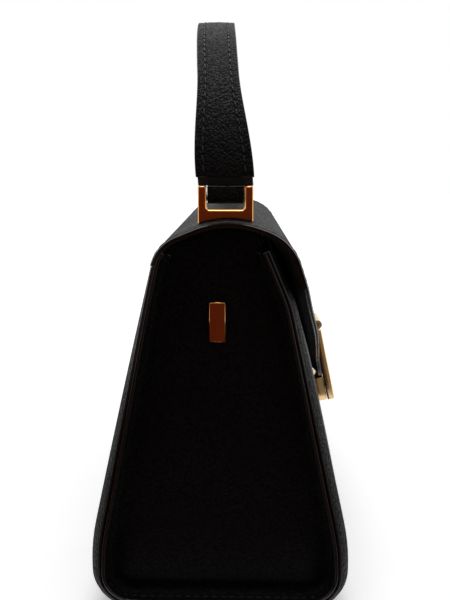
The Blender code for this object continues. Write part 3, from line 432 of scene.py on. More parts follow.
def stitch_row(name, stations, material):
    """One mesh of thread stitches laid along stations of point, surface normal and direction."""
    size = settings()
    one = bmesh.new()
    bmesh.ops.create_uvsphere(one, u_segments=8, v_segments=6, radius=1.0,
                              matrix=Matrix.Rotation(math.radians(90), 4, "X"))
    for vert in one.verts:
        vert.co.y = math.copysign(abs(vert.co.y) ** STITCH_BLUNTNESS, vert.co.y)
    pattern = bpy.data.meshes.new("stitch")
    one.to_mesh(pattern)
    one.free()
    work = bmesh.new()
    scale = Matrix.Diagonal((size.thread / 2, size.stitch * STITCH_LENGTH_SHARE,
                             size.thread * STITCH_HEIGHT_SHARE, 1))
    for point, normal, along in stations:
        along = along.normalized()
        normal = (normal - along * normal.dot(along)).normalized()
        lean = Matrix.Rotation(STITCH_LEAN, 4, normal)
        turn = Matrix((along.cross(normal), along, normal)).transposed().to_4x4()
        place = Matrix.Translation(point - normal * size.thread * STITCH_SUNK_SHARE)
        stitch = pattern.copy()
        stitch.transform(place @ lean @ turn @ scale)
        work.from_mesh(stitch)
        bpy.data.meshes.remove(stitch)
    bpy.data.meshes.remove(pattern)
    return new_piece(name, work, [material])


def along_curve(places, step):
    """Stations at even steps along a list of point and normal pairs."""
    stations, run = [], step / 2
    for (start, first), (end, last) in zip(places, places[1:]):
        length = (end - start).length
        while run < length:
            share = run / length
            stations.append((start.lerp(end, share), first.lerp(last, share).normalized(), end - start))
            run += step
        run -= length
    return stations


# Materials
def linear(code):
    """Linear colour of an sRGB hex value."""
    parts = [int(code[index:index + 2], 16) / 255 for index in (1, 3, 5)]
    return [part / 12.92 if part <= 0.04045 else ((part + 0.055) / 1.055) ** 2.4 for part in parts] + [1.0]


def set_up(node, links=(), **values):
    """Sets a node's attributes and sockets, and links other nodes' sockets into it."""
    for key, value in values.items():
        if hasattr(node, key):
            setattr(node, key, value)
        else:
            node.inputs[key.replace("_", " ")].default_value = value
    for source, target in links:
        node.id_data.links.new(source, node.inputs[target])
    return node


def add(tree, kind, links=(), **values):
    """Adds a node to a tree with its settings and links."""
    return set_up(tree.nodes.new(kind), links, **values)


def start_material(name):
    """A new material, its node tree and its place in the object's own coordinates."""
    made = bpy.data.materials.new(name)
    made.use_nodes = True
    return made, made.node_tree, add(made.node_tree, "ShaderNodeTexCoord").outputs["Object"]


def finish_material(made, pattern, dark, light, rough=None, relief=None, **values):
    """Ends a material: two tones and a range of roughness that follow a pattern, and its relief.

    The relief is a height with the bump's strength and distance. Values go to the shader's sockets.
    """
    tree = made.node_tree
    tone = add(tree, "ShaderNodeMixRGB", [(pattern, "Fac")], Color1=linear(dark), Color2=linear(light))
    links = [(tone.outputs["Color"], "Base Color")]
    if rough:
        worn = add(tree, "ShaderNodeMapRange", [(pattern, "Value")], From_Min=0.3, From_Max=0.7,
                   To_Min=rough[0], To_Max=rough[1])
        links.append((worn.outputs["Result"], "Roughness"))
    if relief:
        height, strength, distance = relief
        bump = add(tree, "ShaderNodeBump", [(height, "Height")], Strength=strength, Distance=distance)
        links.append((bump.outputs["Normal"], "Normal"))
    set_up(tree.nodes["Principled BSDF"], links, **values)
    return made


CACHE = {}


def once(make):
    """Makes each material one time only."""
    def wrapper(*choices):
        key = (make.__name__, choices)
        if key not in CACHE:
            CACHE[key] = make(*choices)
        return CACHE[key]
    return wrapper


def looked_at(tree):
    """1 for rays from the camera, from gloss and through glass, which all see the white studio, else 0."""
    path = add(tree, "ShaderNodeLightPath").outputs
    seen = path["Is Camera Ray"]
    for kind in ("Is Glossy Ray", "Is Transmission Ray"):
        seen = add(tree, "ShaderNodeMath", [(seen, 0), (path[kind], 1)], operation="MAXIMUM").outputs[0]
    return seen


@once
def pebbled_calf():
    """Black chrome-tanned calf, printed with a pebble grain: dull valleys with painted shade, softly shining
    domes.
    """
    size = settings()
    made, tree, spot = start_material("Pebbled calf")
    drift = add(tree, "ShaderNodeTexNoise", [(spot, "Vector")], Scale=0.16 / MM, Detail=2.0)
    bent = add(tree, "ShaderNodeMixRGB", [(spot, "Color1"), (drift.outputs["Color"], "Color2")],
               blend_type="LINEAR_LIGHT", Fac=0.0016)
    # domes as wide as the grain setting says, parted by narrow creases
    domes = add(tree, "ShaderNodeTexVoronoi", [(bent.outputs["Color"], "Vector")],
                feature="F1", Scale=1.0 / size.grain)
    dome = add(tree, "ShaderNodeMapRange", [(domes.outputs["Distance"], "Value")],
               interpolation_type="SMOOTHSTEP", From_Min=0.15, From_Max=0.8, To_Min=1.0, To_Max=0.0)
    dome = dome.outputs["Result"]
    # hair cells and pores, about a third of a millimetre
    pores = add(tree, "ShaderNodeTexNoise", [(spot, "Vector")], Scale=2.6 / MM, Detail=3.0, Roughness=0.6)
    pitted = add(tree, "ShaderNodeMapRange", [(pores.outputs["Fac"], "Value")], From_Min=0.3, From_Max=0.7,
                 To_Max=0.22)
    height = add(tree, "ShaderNodeMath", [(dome, 0), (pitted.outputs["Result"], 2)],
                 operation="MULTIPLY_ADD")
    height.inputs[1].default_value = 0.8
    bump = add(tree, "ShaderNodeBump", [(height.outputs[0], "Height")], Strength=0.8, Distance=0.4 * MM)
    # tones and handling wear in patches about 26 mm wide
    slow = add(tree, "ShaderNodeTexNoise", [(spot, "Vector")], Scale=0.038 / MM, Detail=3.0).outputs["Fac"]
    toned = add(tree, "ShaderNodeMapRange", [(slow, "Value")], From_Min=0.35, From_Max=0.7)
    mixed = add(tree, "ShaderNodeMixRGB", [(toned.outputs["Result"], "Fac")],
                Color1=linear(size.leather_dark), Color2=linear(size.leather_light))
    # painted shade: the creases between the domes are coloured near black, darker than the leather's own
    # tones
    painted_crease_shade = add(tree, "ShaderNodeMixRGB", [(dome, "Fac"), (mixed.outputs["Color"], "Color2")],
                 Color1=linear("#020202"))
    polish = add(tree, "ShaderNodeMapRange", [(dome, "Value")], To_Min=0.66, To_Max=0.38)
    handled = add(tree, "ShaderNodeMapRange", [(slow, "Value")], From_Min=0.3, From_Max=0.7,
                  To_Min=-0.04, To_Max=0.06)
    wear = add(tree, "ShaderNodeMath", [(polish.outputs["Result"], 0), (handled.outputs["Result"], 1)],
               operation="ADD")
    set_up(tree.nodes["Principled BSDF"],
           [(painted_crease_shade.outputs["Color"], "Base Color"), (wear.outputs[0], "Roughness"),
            (bump.outputs["Normal"], "Normal")], Specular_IOR_Level=0.12, IOR=1.48)
    return made


@once
def edge_paint():
    """Black acrylic edge paint, laid on in thick coats: smooth and glossy with a slight orange peel."""
    made, tree, spot = start_material("Edge paint")
    peel = add(tree, "ShaderNodeTexNoise", [(spot, "Vector")], Scale=0.9 / MM, Detail=1.0).outputs["Fac"]
    slow = add(tree, "ShaderNodeTexNoise", [(spot, "Vector")], Scale=0.06 / MM, Detail=2.0).outputs["Fac"]
    return finish_material(made, slow, "#080707", "#0f0e0e", (0.2, 0.3), (peel, 0.25, 0.08 * MM),
                           Specular_IOR_Level=0.3, Coat_Weight=0.4, Coat_Roughness=0.1, Coat_IOR=1.6)


@once
def flesh_side():
    """Back of the calf leather: dyed through, buffed to a short nap."""
    made, tree, spot = start_material("Buffed flesh side")
    nap = add(tree, "ShaderNodeTexNoise", [(spot, "Vector")], Scale=1.5 / MM, Detail=5.0, Roughness=0.7)
    nap = nap.outputs["Fac"]
    return finish_material(made, nap, "#0c0b0b", "#1d1b1a", relief=(nap, 0.5, 0.15 * MM),
                           Roughness=0.9, Sheen_Weight=0.12)


@once
def lining_lamb():
    """Black lambskin lining: fine smooth grain with faint stretch lines, satin."""
    made, tree, spot = start_material("Lambskin lining")
    # grain of about half a millimetre, stretch lines about 5 mm apart
    grain = add(tree, "ShaderNodeTexVoronoi", [(spot, "Vector")], feature="SMOOTH_F1", Scale=1.9 / MM)
    lines = add(tree, "ShaderNodeTexNoise", [(spot, "Vector")], Scale=0.22 / MM, Detail=4.0, Distortion=1.2)
    lines = lines.outputs["Fac"]
    height = add(tree, "ShaderNodeMath", [(grain.outputs["Distance"], 0), (lines, 1)], operation="ADD")
    return finish_material(made, lines, "#0e0d0d", "#191717", (0.5, 0.64),
                           (height.outputs[0], 0.3, 0.08 * MM))


@once
def bonded_thread():
    """Black bonded nylon thread, three plies twisted: a soft shine broken by the twist."""
    made, tree, spot = start_material("Bonded nylon thread")
    # the twist is drawn a little coarser than real so that it shows
    twist = add(tree, "ShaderNodeTexWave", [(spot, "Vector")], wave_type="BANDS",
                bands_direction="DIAGONAL", Scale=0.26 / MM, Distortion=0.6).outputs["Fac"]
    return finish_material(made, twist, "#080707", "#161514", relief=(twist, 0.6, 0.1 * MM),
                           Roughness=0.5, Specular_IOR_Level=0.35)


@once
def gold_plate(kind):
    """Zinc casting, polished and plated pale gold: mirror-like with faint rubbing marks. The brackets' and
    plaques' copy is made more orange, a painted reflection of warm, dark surroundings.
    """
    size = settings()
    made, tree, spot = start_material(f"Polished gold plate, {kind}")
    # rubbing marks a quarter of a millimetre apart, drawn out along the width of the bag
    stretched = add(tree, "ShaderNodeMapping", [(spot, "Vector")], Scale=(0.06 / MM, 0.9 / MM, 4.2 / MM))
    rub = add(tree, "ShaderNodeTexNoise", [(stretched.outputs["Vector"], "Vector")], Scale=1.0, Detail=3.0)
    slow = add(tree, "ShaderNodeTexNoise", [(spot, "Vector")], Scale=0.14 / MM, Detail=3.0)
    # painted reflection: brackets and plaques get a more orange copy of the clasp's gold, standing in for the
    # tint of their dark reflections
    light, dark = (size.gold, size.gold_dark) if kind == "clasp" else (size.reflection_tinted_gold, size.reflection_tinted_gold_dark)
    return finish_material(made, slow.outputs["Fac"], dark, light, (0.12, 0.2),
                           (rub.outputs["Fac"], 0.03, 0.02 * MM), Metallic=1.0)


@once
def plain_steel():
    """Zinc-plated mild steel of screws, washers and hidden plates: grey, brushed and slightly dull."""
    made, tree, spot = start_material("Zinc-plated steel")
    stretched = add(tree, "ShaderNodeMapping", [(spot, "Vector")], Scale=(0.3 / MM, 0.3 / MM, 5.2 / MM))
    brush = add(tree, "ShaderNodeTexNoise", [(stretched.outputs["Vector"], "Vector")], Scale=1.0, Detail=2.0)
    brush = brush.outputs["Fac"]
    return finish_material(made, brush, "#8b8c8f", "#a9aaad", (0.28, 0.42), (brush, 0.12, 0.04 * MM),
                           Metallic=1.0)


@once
def nickel_plate():
    """Nickel-plated magnet: grey, satin, slightly uneven."""
    made, tree, spot = start_material("Nickel plate")
    slow = add(tree, "ShaderNodeTexNoise", [(spot, "Vector")], Scale=0.5 / MM, Detail=3.0)
    return finish_material(made, slow.outputs["Fac"], "#6f7073", "#8a8b8e", (0.3, 0.4), Metallic=1.0)


@once
def fibre_board():
    """Pressed reinforcement board, dyed black: coarse fibres, matt."""
    made, tree, spot = start_material("Fibre board")
    fibre = add(tree, "ShaderNodeTexNoise", [(spot, "Vector")], Scale=0.9 / MM, Detail=6.0, Roughness=0.7)
    fibre = fibre.outputs["Fac"]
    return finish_material(made, fibre, "#1a1817", "#2c2927", relief=(fibre, 0.3, 0.1 * MM),
                           Roughness=0.92)


@once
def pale_floor():
    """Plain pale floor: white to the eye, with the bag's soft shadow kept."""
    made, tree, spot = start_material("Pale floor")
    speck = add(tree, "ShaderNodeTexNoise", [(spot, "Vector")], Scale=0.03 / MM, Detail=2.0)
    reach = add(tree, "ShaderNodeVectorMath", [(spot, "Vector")], operation="LENGTH")
    lift = add(tree, "ShaderNodeMapRange", [(reach.outputs["Value"], "Value")], From_Min=FLOOR_NEAR,
               From_Max=FLOOR_FAR, To_Min=settings().floor_lift)
    glow = add(tree, "ShaderNodeMath", [(looked_at(tree), 0), (lift.outputs["Result"], 1)],
               operation="MULTIPLY")
    set_up(tree.nodes["Principled BSDF"], [(glow.outputs[0], "Emission Strength")],
           Emission_Color=(1, 1, 1, 1))
    return finish_material(made, speck.outputs["Fac"], "#f4f4f4", "#fafafa", Roughness=0.9,
                           Specular_IOR_Level=0.1)


@once
def uncoated_card(tone, dark, light):
    """Card that stands behind the camera, seen only in the polished metal and the leather's gloss: matt."""
    made, tree, spot = start_material(f"Uncoated card, {tone}")
    cloud = add(tree, "ShaderNodeTexNoise", [(spot, "Vector")], Scale=0.003 / MM, Detail=2.0)
    return finish_material(made, cloud.outputs["Fac"], dark, light, Roughness=1.0)


# Settings shown in the sidebar
class BagSettings(bpy.types.PropertyGroup):
    """Sizes and colours of the bag's finish."""

    softness: bpy.props.FloatProperty(
        name="Softness", description="Unevenness of the panels", default=0.0003, unit="LENGTH", precision=5)
    grain: bpy.props.FloatProperty(
        name="Grain", description="Width of one pebble of the leather's grain", default=0.0012, unit="LENGTH",
        precision=5)
    stitch: bpy.props.FloatProperty(
        name="Stitch", description="Distance from one stitch to the next", default=0.0042, unit="LENGTH",
        precision=4)
    thread: bpy.props.FloatProperty(
        name="Thread", description="Thickness of the sewing thread", default=0.0008, unit="LENGTH",
        precision=4)
    channel: bpy.props.FloatProperty(
        name="Seam channel", description="How deep a tight seam draws in the leather", default=0.0003,
        unit="LENGTH", precision=5)
    stitch_inset: bpy.props.FloatProperty(
        name="Stitch inset", description="Distance of the seams from the edges", default=0.0037,
        unit="LENGTH", precision=4)
    edge_round: bpy.props.FloatProperty(
        name="Edge rounding", description="Rounding of painted leather edges", default=0.0005, unit="LENGTH",
        precision=5)
    leather_dark: bpy.props.StringProperty(
        name="Leather, dark", description="Darker tone of the leather as sRGB hex", default="#070606")
    leather_light: bpy.props.StringProperty(
        name="Leather, light", description="Lighter tone of the leather as sRGB hex", default="#0e0d0d")
    gold: bpy.props.StringProperty(
        name="Gold", description="Colour of the clasp's plate as sRGB hex", default="#f0d3a0")
    gold_dark: bpy.props.StringProperty(
        name="Gold, dark", description="Darker tone of the clasp's plate as sRGB hex", default="#e6c48c")
    # painted reflection: the brackets' and plaques' colour is the clasp's gold made more orange, standing in
    # for their warm, dark reflections
    reflection_tinted_gold: bpy.props.StringProperty(
        name="Warm gold", description="Colour of brackets and plaques as sRGB hex", default="#eeb070")
    reflection_tinted_gold_dark: bpy.props.StringProperty(
        name="Warm gold, dark", description="Darker tone of brackets and plaques as sRGB hex",
        default="#e3a05c")
    floor_lift: bpy.props.FloatProperty(
        name="Floor lift", description="How much the near floor glows to the camera and in gloss",
        default=0.42, min=0.0)


def settings():
    """The scene's bag settings."""
    return bpy.context.scene.bag_settings


# Pieces
MIDDLE_HEIGHT = 0.09
LINING_ROUND_SHARE = 1 / 3
ACROSS_SHARE = 0.9
LID_EDGE_SHARES = (0.986, 0.9935, 1)
LID_INNER_SHARE, LID_STEP_SHARE = 0.975, 0.035
TONGUE_TURNS = [math.radians(degrees) for degrees in (15, 30, 45, 58, 70, 80, 90)]


def away(place):
    """Direction from the middle of the bag, in the YZ plane."""
    return Vector((0, place.y, place.z - MIDDLE_HEIGHT))


def dress(piece, body, nodes):
    """Lets a piece ride a body in place of its nodes."""
    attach(piece, body)
    if nodes:
        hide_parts(*nodes)


def lining_materials():
    """Lining on both faces, paint on the rim."""
    return [lining_lamb(), edge_paint(), lining_lamb()]


class BAG_OT_wrap(bpy.types.Operator):
    """Front panel, base and back panel of the body, outside and inside"""

    bl_idname = "bag.wrap"
    bl_label = "Body wrap"

    def execute(self, context):
        rows = path_rows(0.0, WRAP_TOP)
        outside = mapped_grid(seam_columns(), rows, lambda x, run: wrap_point(run, x))
        leather = layer("wrap_outside", face_outward(outside, away), leather_materials(), WRAP_LEATHER)
        dress(leather, "body", ["wrap_leather"])
        half = HALF_WIDTH - GUSSET_RECESS - GUSSET_LEATHER - GAP
        inside = mapped_grid(spread(-half, half, LINING_STEP), rows,
                             lambda x, run: wrap_point(run, x, WRAP_LINING_DEPTH))
        lining = layer("wrap_inside", face_outward(inside, away), lining_materials(), WRAP_LINING,
                       LINING_ROUND_SHARE)
        dress(lining, "body", ["wrap_lining"])
        return {"FINISHED"}


def paint_sides(sheet):
    """Carries the edge paint round on to the outermost strips of a sheet's long sides."""
    for edge in sheet.edges:
        along = edge.verts[1].co - edge.verts[0].co
        if edge.is_boundary and abs(along.x) < ACROSS_SHARE * along.length:
            for face in edge.link_faces:
                face.material_index = 1


class BAG_OT_lid(bpy.types.Operator):
    """Lid and flap, curving over the back shoulder, with their lining"""

    bl_idname = "bag.lid"
    bl_label = "Lid and flap"

    def execute(self, context):
        rows = path_rows(LID_SEAM, FLAP_END - TONGUE_CORNER)
        rows += [FLAP_END - TONGUE_CORNER + TONGUE_CORNER * math.sin(turn) for turn in TONGUE_TURNS]
        shares = [-share for share in LID_EDGE_SHARES[::-1]]
        shares += spread(-LID_INNER_SHARE, LID_INNER_SHARE, LID_STEP_SHARE) + list(LID_EDGE_SHARES)
        calf, paint, flesh = leather_materials()
        layers = (("lid_outside", "lid_leather", 0.0, LID_LEATHER, [calf, paint, paint, flesh], 1, "leather"),
                  ("lid_inside", "lid_lining", LID_LINING_DEPTH, LID_LINING, lining_materials(),
                   LINING_ROUND_SHARE, "lining"))
        for name, node, depth, thickness, materials, rounding, slot in layers:
            sheet = mapped_grid(shares, rows,
                                lambda share, run: lid_point(run, share * flap_half_width(run), depth))
            if depth == 0.0:
                paint_sides(sheet)
            piece = layer(name, face_outward(sheet, away), materials, thickness, rounding)
            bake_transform(piece)
            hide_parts(node)
        return {"FINISHED"}


def under_wrap(run, inset):
    """A point in the YZ plane under the wrap's inner face, where it is drawn in and glued to the gusset."""
    point, normal = OUTLINE.at(run)
    return point - normal * (pinch(run) + WRAP_LEATHER - SEAM_BITE + inset)


def under_lining(run):
    """A point in the YZ plane just inside the wrap's lining."""
    point, normal = OUTLINE.at(run)
    return point - normal * (WRAP_LINING_DEPTH + WRAP_LINING + GAP)


def polyline_at(places, share):
    """A point at a share of a polyline's length."""
    total = sum((end - start).length for start, end in zip(places, places[1:]))
    left = share * total
    for start, end in zip(places, places[1:]):
        length = (end - start).length
        if left <= length:
            return start.lerp(end, left / max(length, NEARLY_ZERO))
        left -= length
    return places[-1].copy()


class SidePanel:
    """A panel across the bag's end, spanned between its front, back, base and arched top."""

    TOP_SHARE, FOOT_SHARE = 0.93, 0.12
    COLUMN_SHARE, FOOT_ROW_SHARE, ROW_SHARE, TOP_ROW_SHARE = 1 / 24, 1 / 120, 1 / 44, 1 / 70
    WAVES = (26, 17, 5.0)
    STILL_RIM_SHARE = 0.22
    # Where the low swell rises and fades up the panel, as a start and a run, and its fading at the sides
    SWELL_START_SHARES, SWELL_END_SHARES, SWELL_SIDE_SHARE = (0.008, 0.06), (0.09, 0.2), 0.14

    def __init__(self, rim):
        self.rim = rim
        high = under_lining(GUSSET_TOP)
        self.arch = []
        for run in path_rows(HINGE + GAP, BROW[1])[::-1]:
            point, normal = OUTLINE.at(run)
            place = point - normal * (LID_THICKNESS + ARCH_GAP)
            if ARCH_FRONT < place.x < high.x - ARCH_GAP:
                self.arch.append(place)
        self.arch.append(high)
        self.front_step = [rim(0.0), under_lining(0.0), self.arch[0]]
        self.back_step = [rim(GUSSET_TOP), high]
        self.corners = rim(FRONT_CORNER), rim(BACK_CORNER), self.arch[0], high

    def run(self, u, v):
        """Outline length of a place on the panel's rim; past its ends, minus or plus a share of the step."""
        if v == 0:
            return FRONT_CORNER + (BACK_CORNER - FRONT_CORNER) * u
        side = min(v / self.TOP_SHARE, 1.0)
        beyond = max(v - self.TOP_SHARE, 0.0) / (1 - self.TOP_SHARE)
        if u == 0:
            return FRONT_CORNER * (1 - side) - beyond
        return BACK_CORNER + (GUSSET_TOP - BACK_CORNER) * side + beyond

    def edge(self, run):
        """A point of the rim in the YZ plane."""
        if run < 0:
            return polyline_at(self.front_step, -run)
        if run > GUSSET_TOP:
            return polyline_at(self.back_step, run - GUSSET_TOP)
        return self.rim(run)

    def at(self, u, v):
        """A point of the panel in the YZ plane."""
        front = self.edge(self.run(0, max(v, NEARLY_ZERO)))
        back = self.edge(self.run(1, max(v, NEARLY_ZERO)))
        base_front, base_back, low, high = self.corners
        flat = base_front.lerp(base_back, u).lerp(low.lerp(high, u), v)
        return front.lerp(back, u) + self.edge(self.run(u, 0)).lerp(polyline_at(self.arch, u), v) - flat

    def sheet(self, face, side, waves, swell):
        """A grid of the panel, with waves and a low swell that die out at its rim, and the rim's lengths."""
        across = spread(0, 1, self.COLUMN_SHARE)
        up = spread(0, self.FOOT_SHARE, self.FOOT_ROW_SHARE)
        up += spread(self.FOOT_SHARE, self.TOP_SHARE, self.ROW_SHARE)[1:]
        up += spread(self.TOP_SHARE, 1, self.TOP_ROW_SHARE)[1:]
        waves_across, waves_up, seed = self.WAVES
        (start, start_run), (end, end_run) = self.SWELL_START_SHARES, self.SWELL_END_SHARES

        def place(u, v):
            spot = self.at(u, v)
            rim = smooth(min(u, 1 - u, v, 1 - v) / self.STILL_RIM_SHARE)
            wave = noise.noise(Vector((spot.x * waves_across, spot.y * waves_up, seed * side)))
            wave *= waves * settings().softness
            fold = smooth((v - start) / start_run) * (1 - smooth((v - end) / end_run))
            fold *= smooth(min(u, 1 - u) / self.SWELL_SIDE_SHARE)
            return Vector((side * (face + wave * rim + swell * fold), spot.x, spot.y))

        work = mapped_grid(across, up, place)
        marks = [(u, v) for u in (0, 1) for v in up] + [(u, 0) for u in across]
        rim = [(place(u, v), self.run(u, v)) for u, v in marks
               if -NEARLY_ZERO < self.run(u, v) < GUSSET_TOP + NEARLY_ZERO]
        edge = [vert for vert in work.verts if vert.is_boundary]
        runs = {vert: min(max(run, 0.0), GUSSET_TOP) for vert in edge
                for spot, run in rim if (vert.co - spot).length < MERGE / 10}
        return work, runs


class BAG_OT_gussets(bpy.types.Operator):
    """Recessed leather trays at both ends of the bag, folded out to the seams, and their linings"""

    bl_idname = "bag.gussets"
    bl_label = "Gussets"

    def execute(self, context):
        fold = GUSSET_FOLD + GUSSET_LEATHER
        tip = GUSSET_RECESS + GUSSET_LEATHER
        section = [(fold - GUSSET_FOLD * math.sin(turn), fold - GUSSET_FOLD * math.cos(turn))
                   for turn in GUSSET_FOLD_TURNS]
        section += [(GUSSET_LEATHER, fold + (tip - fold) * share) for share in FLANGE_SHARES]
        tray = SidePanel(lambda run: under_wrap(run, fold))
        cover = SidePanel(under_lining)
        for name, side in (("left", -1), ("right", 1)):
            work, runs = tray.sheet(HALF_WIDTH - GUSSET_RECESS, side, GUSSET_WAVES, GUSSET_SWELL)
            rim = [edge for edge in work.edges
                   if edge.is_boundary and all(vert in runs for vert in edge.verts)]
            for inset, out in section:
                made = bmesh.ops.extrude_edge_only(work, edges=rim)["geom"]
                fresh = [item for item in made if isinstance(item, bmesh.types.BMVert)]
                rim = [item for item in made if isinstance(item, bmesh.types.BMEdge)
                       and all(vert in fresh for vert in item.verts)]
                runs.update({vert: runs[old] for vert in fresh for old in
                             [edge.other_vert(vert) for edge in vert.link_edges] if old in runs})
                for vert in fresh:
                    spot = under_wrap(runs[vert], inset)
                    vert.co = (side * (HALF_WIDTH - tip + out), spot.x, spot.y)
            face_outward(work, lambda place: Vector((side, 0, 0)))
            leather = layer(f"gusset_{name}_outside", work, leather_materials(), GUSSET_LEATHER)
            dress(leather, "body", [f"gusset_{name}"])
            work, _ = cover.sheet(GUSSET_LINING_FACE, side, GUSSET_LINING_WAVES, 0.0)
            face_outward(work, lambda place: Vector((side, 0, 0)))
            lining = layer(f"gusset_{name}_inside", work, lining_materials(), GUSSET_LINING,
                           LINING_ROUND_SHARE)
            dress(lining, "body", [f"gusset_lining_{name}"])
        return {"FINISHED"}


def strap(name, node, first, inset, sign):
    """One strap of the handle from its first angle to the other end, facing up or, with sign -1, down."""
    seam = settings().stitch_inset
    edge = [(1, gap) for gap in STRAP_EDGE_GAPS] + [(1, seam + gap) for gap in STRAP_SEAM_GAPS]
    middle = [(share, seam + STRAP_MIDDLE_GAP) for share in spread(-1, 1, 2 / STRAP_COLUMNS)]
    places = [(-1, gap) for _, gap in edge] + middle + edge[::-1]
    lift = STRAP_CORE / 2 + GAP + STRAP_LEATHER
    along_waves, across_waves = STRAP_WAVES

    def place(spot, angle):
        """The strap is slightly crowned, as a folded and glued leather strap is."""
        share, gap = spot
        half = strap_half_width(angle, inset)
        across = share * (half - gap)
        crown = -STRAP_CROWN * (across / half) ** 2
        wave = STRAP_WAVE * noise.noise(Vector((angle * along_waves, share * across_waves, sign * lift / MM)))
        groove = channel(half - abs(across) + inset)
        return strap_point(angle, across, sign * (lift + crown + wave - groove))

    work = mapped_grid(places, spread(first, math.pi - first, STRAP_ROW_ANGLE), place)
    hub = Vector((0, 0, STRAP_BASE))
    face_outward(work, lambda spot: (spot - hub) * sign)
    dress(layer(name, work, leather_materials(), STRAP_LEATHER), "lid", [node])


class BAG_OT_handle(bpy.types.Operator):
    """Arched handle: upper strap and lower strap, with the loops round the pins"""

    bl_idname = "bag.handle"
    bl_label = "Handle"

    def execute(self, context):
        strap("handle_upper_strap", "handle_leather", UPPER_STRAP_START, 0.0, 1)
        strap("handle_lower_strap", "handle_lining", -STRAP_REST / STRAP_RISE, STRAP_UNDER_INSET, -1)
        for name, side in (("left", -1), ("right", 1)):
            middle = side * STRAP_SPAN
            ring = [Vector((middle + LOOP_RADIUS * math.cos(turn), PIN_HEIGHT + LOOP_RADIUS * math.sin(turn)))
                    for turn in spread(math.pi, 2 * math.pi, math.pi / LOOP_PARTS)]
            top = [Vector((middle + LOOP_RADIUS * across, LOOP_TOP)) for across in (1, 0, -1)]
            ring += top + [ring[0]]
            work = mapped_grid(spread(*LOOP_SPAN_Y, LOOP_STEP), list(range(len(ring))),
                               lambda y, index: Vector((ring[index].x, y, ring[index].y)))
            bmesh.ops.remove_doubles(work, verts=work.verts[:], dist=MERGE)
            hub = Vector((middle, 0, PIN_HEIGHT))
            face_outward(work, lambda spot: Vector((spot.x - hub.x, 0, spot.z - hub.z)))
            loop = layer(f"handle_loop_{name}_finished", work, leather_materials(), LOOP_LEATHER,
                         LOOP_ROUND_SHARE)
            dress(loop, "lid", [f"handle_loop_{name}"])
        return {"FINISHED"}


def strap_row(side, inset, lift):
    """Places along a strap's edge, inset from it, on its upper or, with a negative lift, lower face."""
    first = UPPER_STRAP_START + math.radians(1)
    places = []
    for angle in spread(first, math.pi - first, STITCH_ROW_ANGLE):
        across = side * (strap_half_width(angle) - inset)
        face = strap_point(angle, across, lift)
        higher = strap_point(angle, across, lift + math.copysign(MM, lift))
        places.append((face, (higher - face).normalized()))
    return places


def placed(face_point, run, x):
    """A place on the wrap's or the lid's outer face with the outline's normal."""
    return face_point(run, x), Vector((0, *OUTLINE.at(run)[1]))


SEAM_START, SEAM_TOP_GAP, FLANGE_TOP_GAP = 0.002, 0.001, 0.004
TAPER_GAP = 0.003
STITCH_BED = 0.0001
TONGUE_STITCH_TURNS = [math.radians(degrees) for degrees in range(10, 91, 10)]


class BAG_OT_stitching(bpy.types.Operator):
    """Seams of bonded thread along the edges of the wrap, gussets, lid, flap and handle"""

    bl_idname = "bag.stitching"
    bl_label = "Stitching"

    def execute(self, context):
        size = settings()
        thread, step, inset = bonded_thread(), size.stitch, size.stitch_inset
        face = STRAP_CORE / 2 + GAP + STRAP_LEATHER - STITCH_BED
        rows = []
        for side in (-1, 1):
            for lift in (face, -face):
                rows += along_curve(strap_row(side, inset, lift), step)
        dress(stitch_row("handle_stitches", rows, thread), "lid", [])
        rows = []
        for side in (-1, 1):
            x = side * (HALF_WIDTH - inset)
            runs = path_rows(SEAM_START, WRAP_TOP - SEAM_TOP_GAP)
            rows += along_curve([placed(wrap_point, run, x) for run in runs], step)
            flange = []
            for run in path_rows(SEAM_START, GUSSET_TOP - FLANGE_TOP_GAP):
                spot, (_, normal) = under_wrap(run, GUSSET_LEATHER), OUTLINE.at(run)
                flange.append((Vector((x, *spot)), Vector((0, *-normal))))
            rows += along_curve(flange, step)
        across = spread(2 * inset - HALF_WIDTH, HALF_WIDTH - 2 * inset, PANEL_STEP)
        rows += along_curve([placed(wrap_point, inset, x) for x in across], step)
        dress(stitch_row("body_stitches", rows, thread), "body", [])
        taper, corner = BROW[1] + TAPER_DROP, FLAP_END - TONGUE_CORNER
        edge = [placed(lid_point, run, HALF_WIDTH - inset) for run in path_rows(LID_SEAM + SEAM_START, taper)]
        slant = math.hypot(1, (HALF_WIDTH - TONGUE_HALF_WIDTH) / (corner - taper))
        edge += [placed(lid_point, run, flap_half_width(run) - inset * slant)
                 for run in path_rows(taper + TAPER_GAP, corner - TAPER_GAP)]
        radius = TONGUE_CORNER - inset
        edge += [placed(lid_point, corner + radius * math.sin(turn),
                        TONGUE_HALF_WIDTH - TONGUE_CORNER + radius * math.cos(turn))
                 for turn in TONGUE_STITCH_TURNS]
        edge.append(placed(lid_point, corner + radius, 0.0))
        mirrored = [(Vector((-place.x, place.y, place.z)), normal) for place, normal in edge[-2::-1]]
        rows = along_curve(edge + mirrored, step)
        rows += along_curve([placed(lid_point, LID_SEAM + inset, x) for x in across], step)
        stitches = stitch_row("lid_stitches", rows, thread)
        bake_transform(stitches)
        return {"FINISHED"}


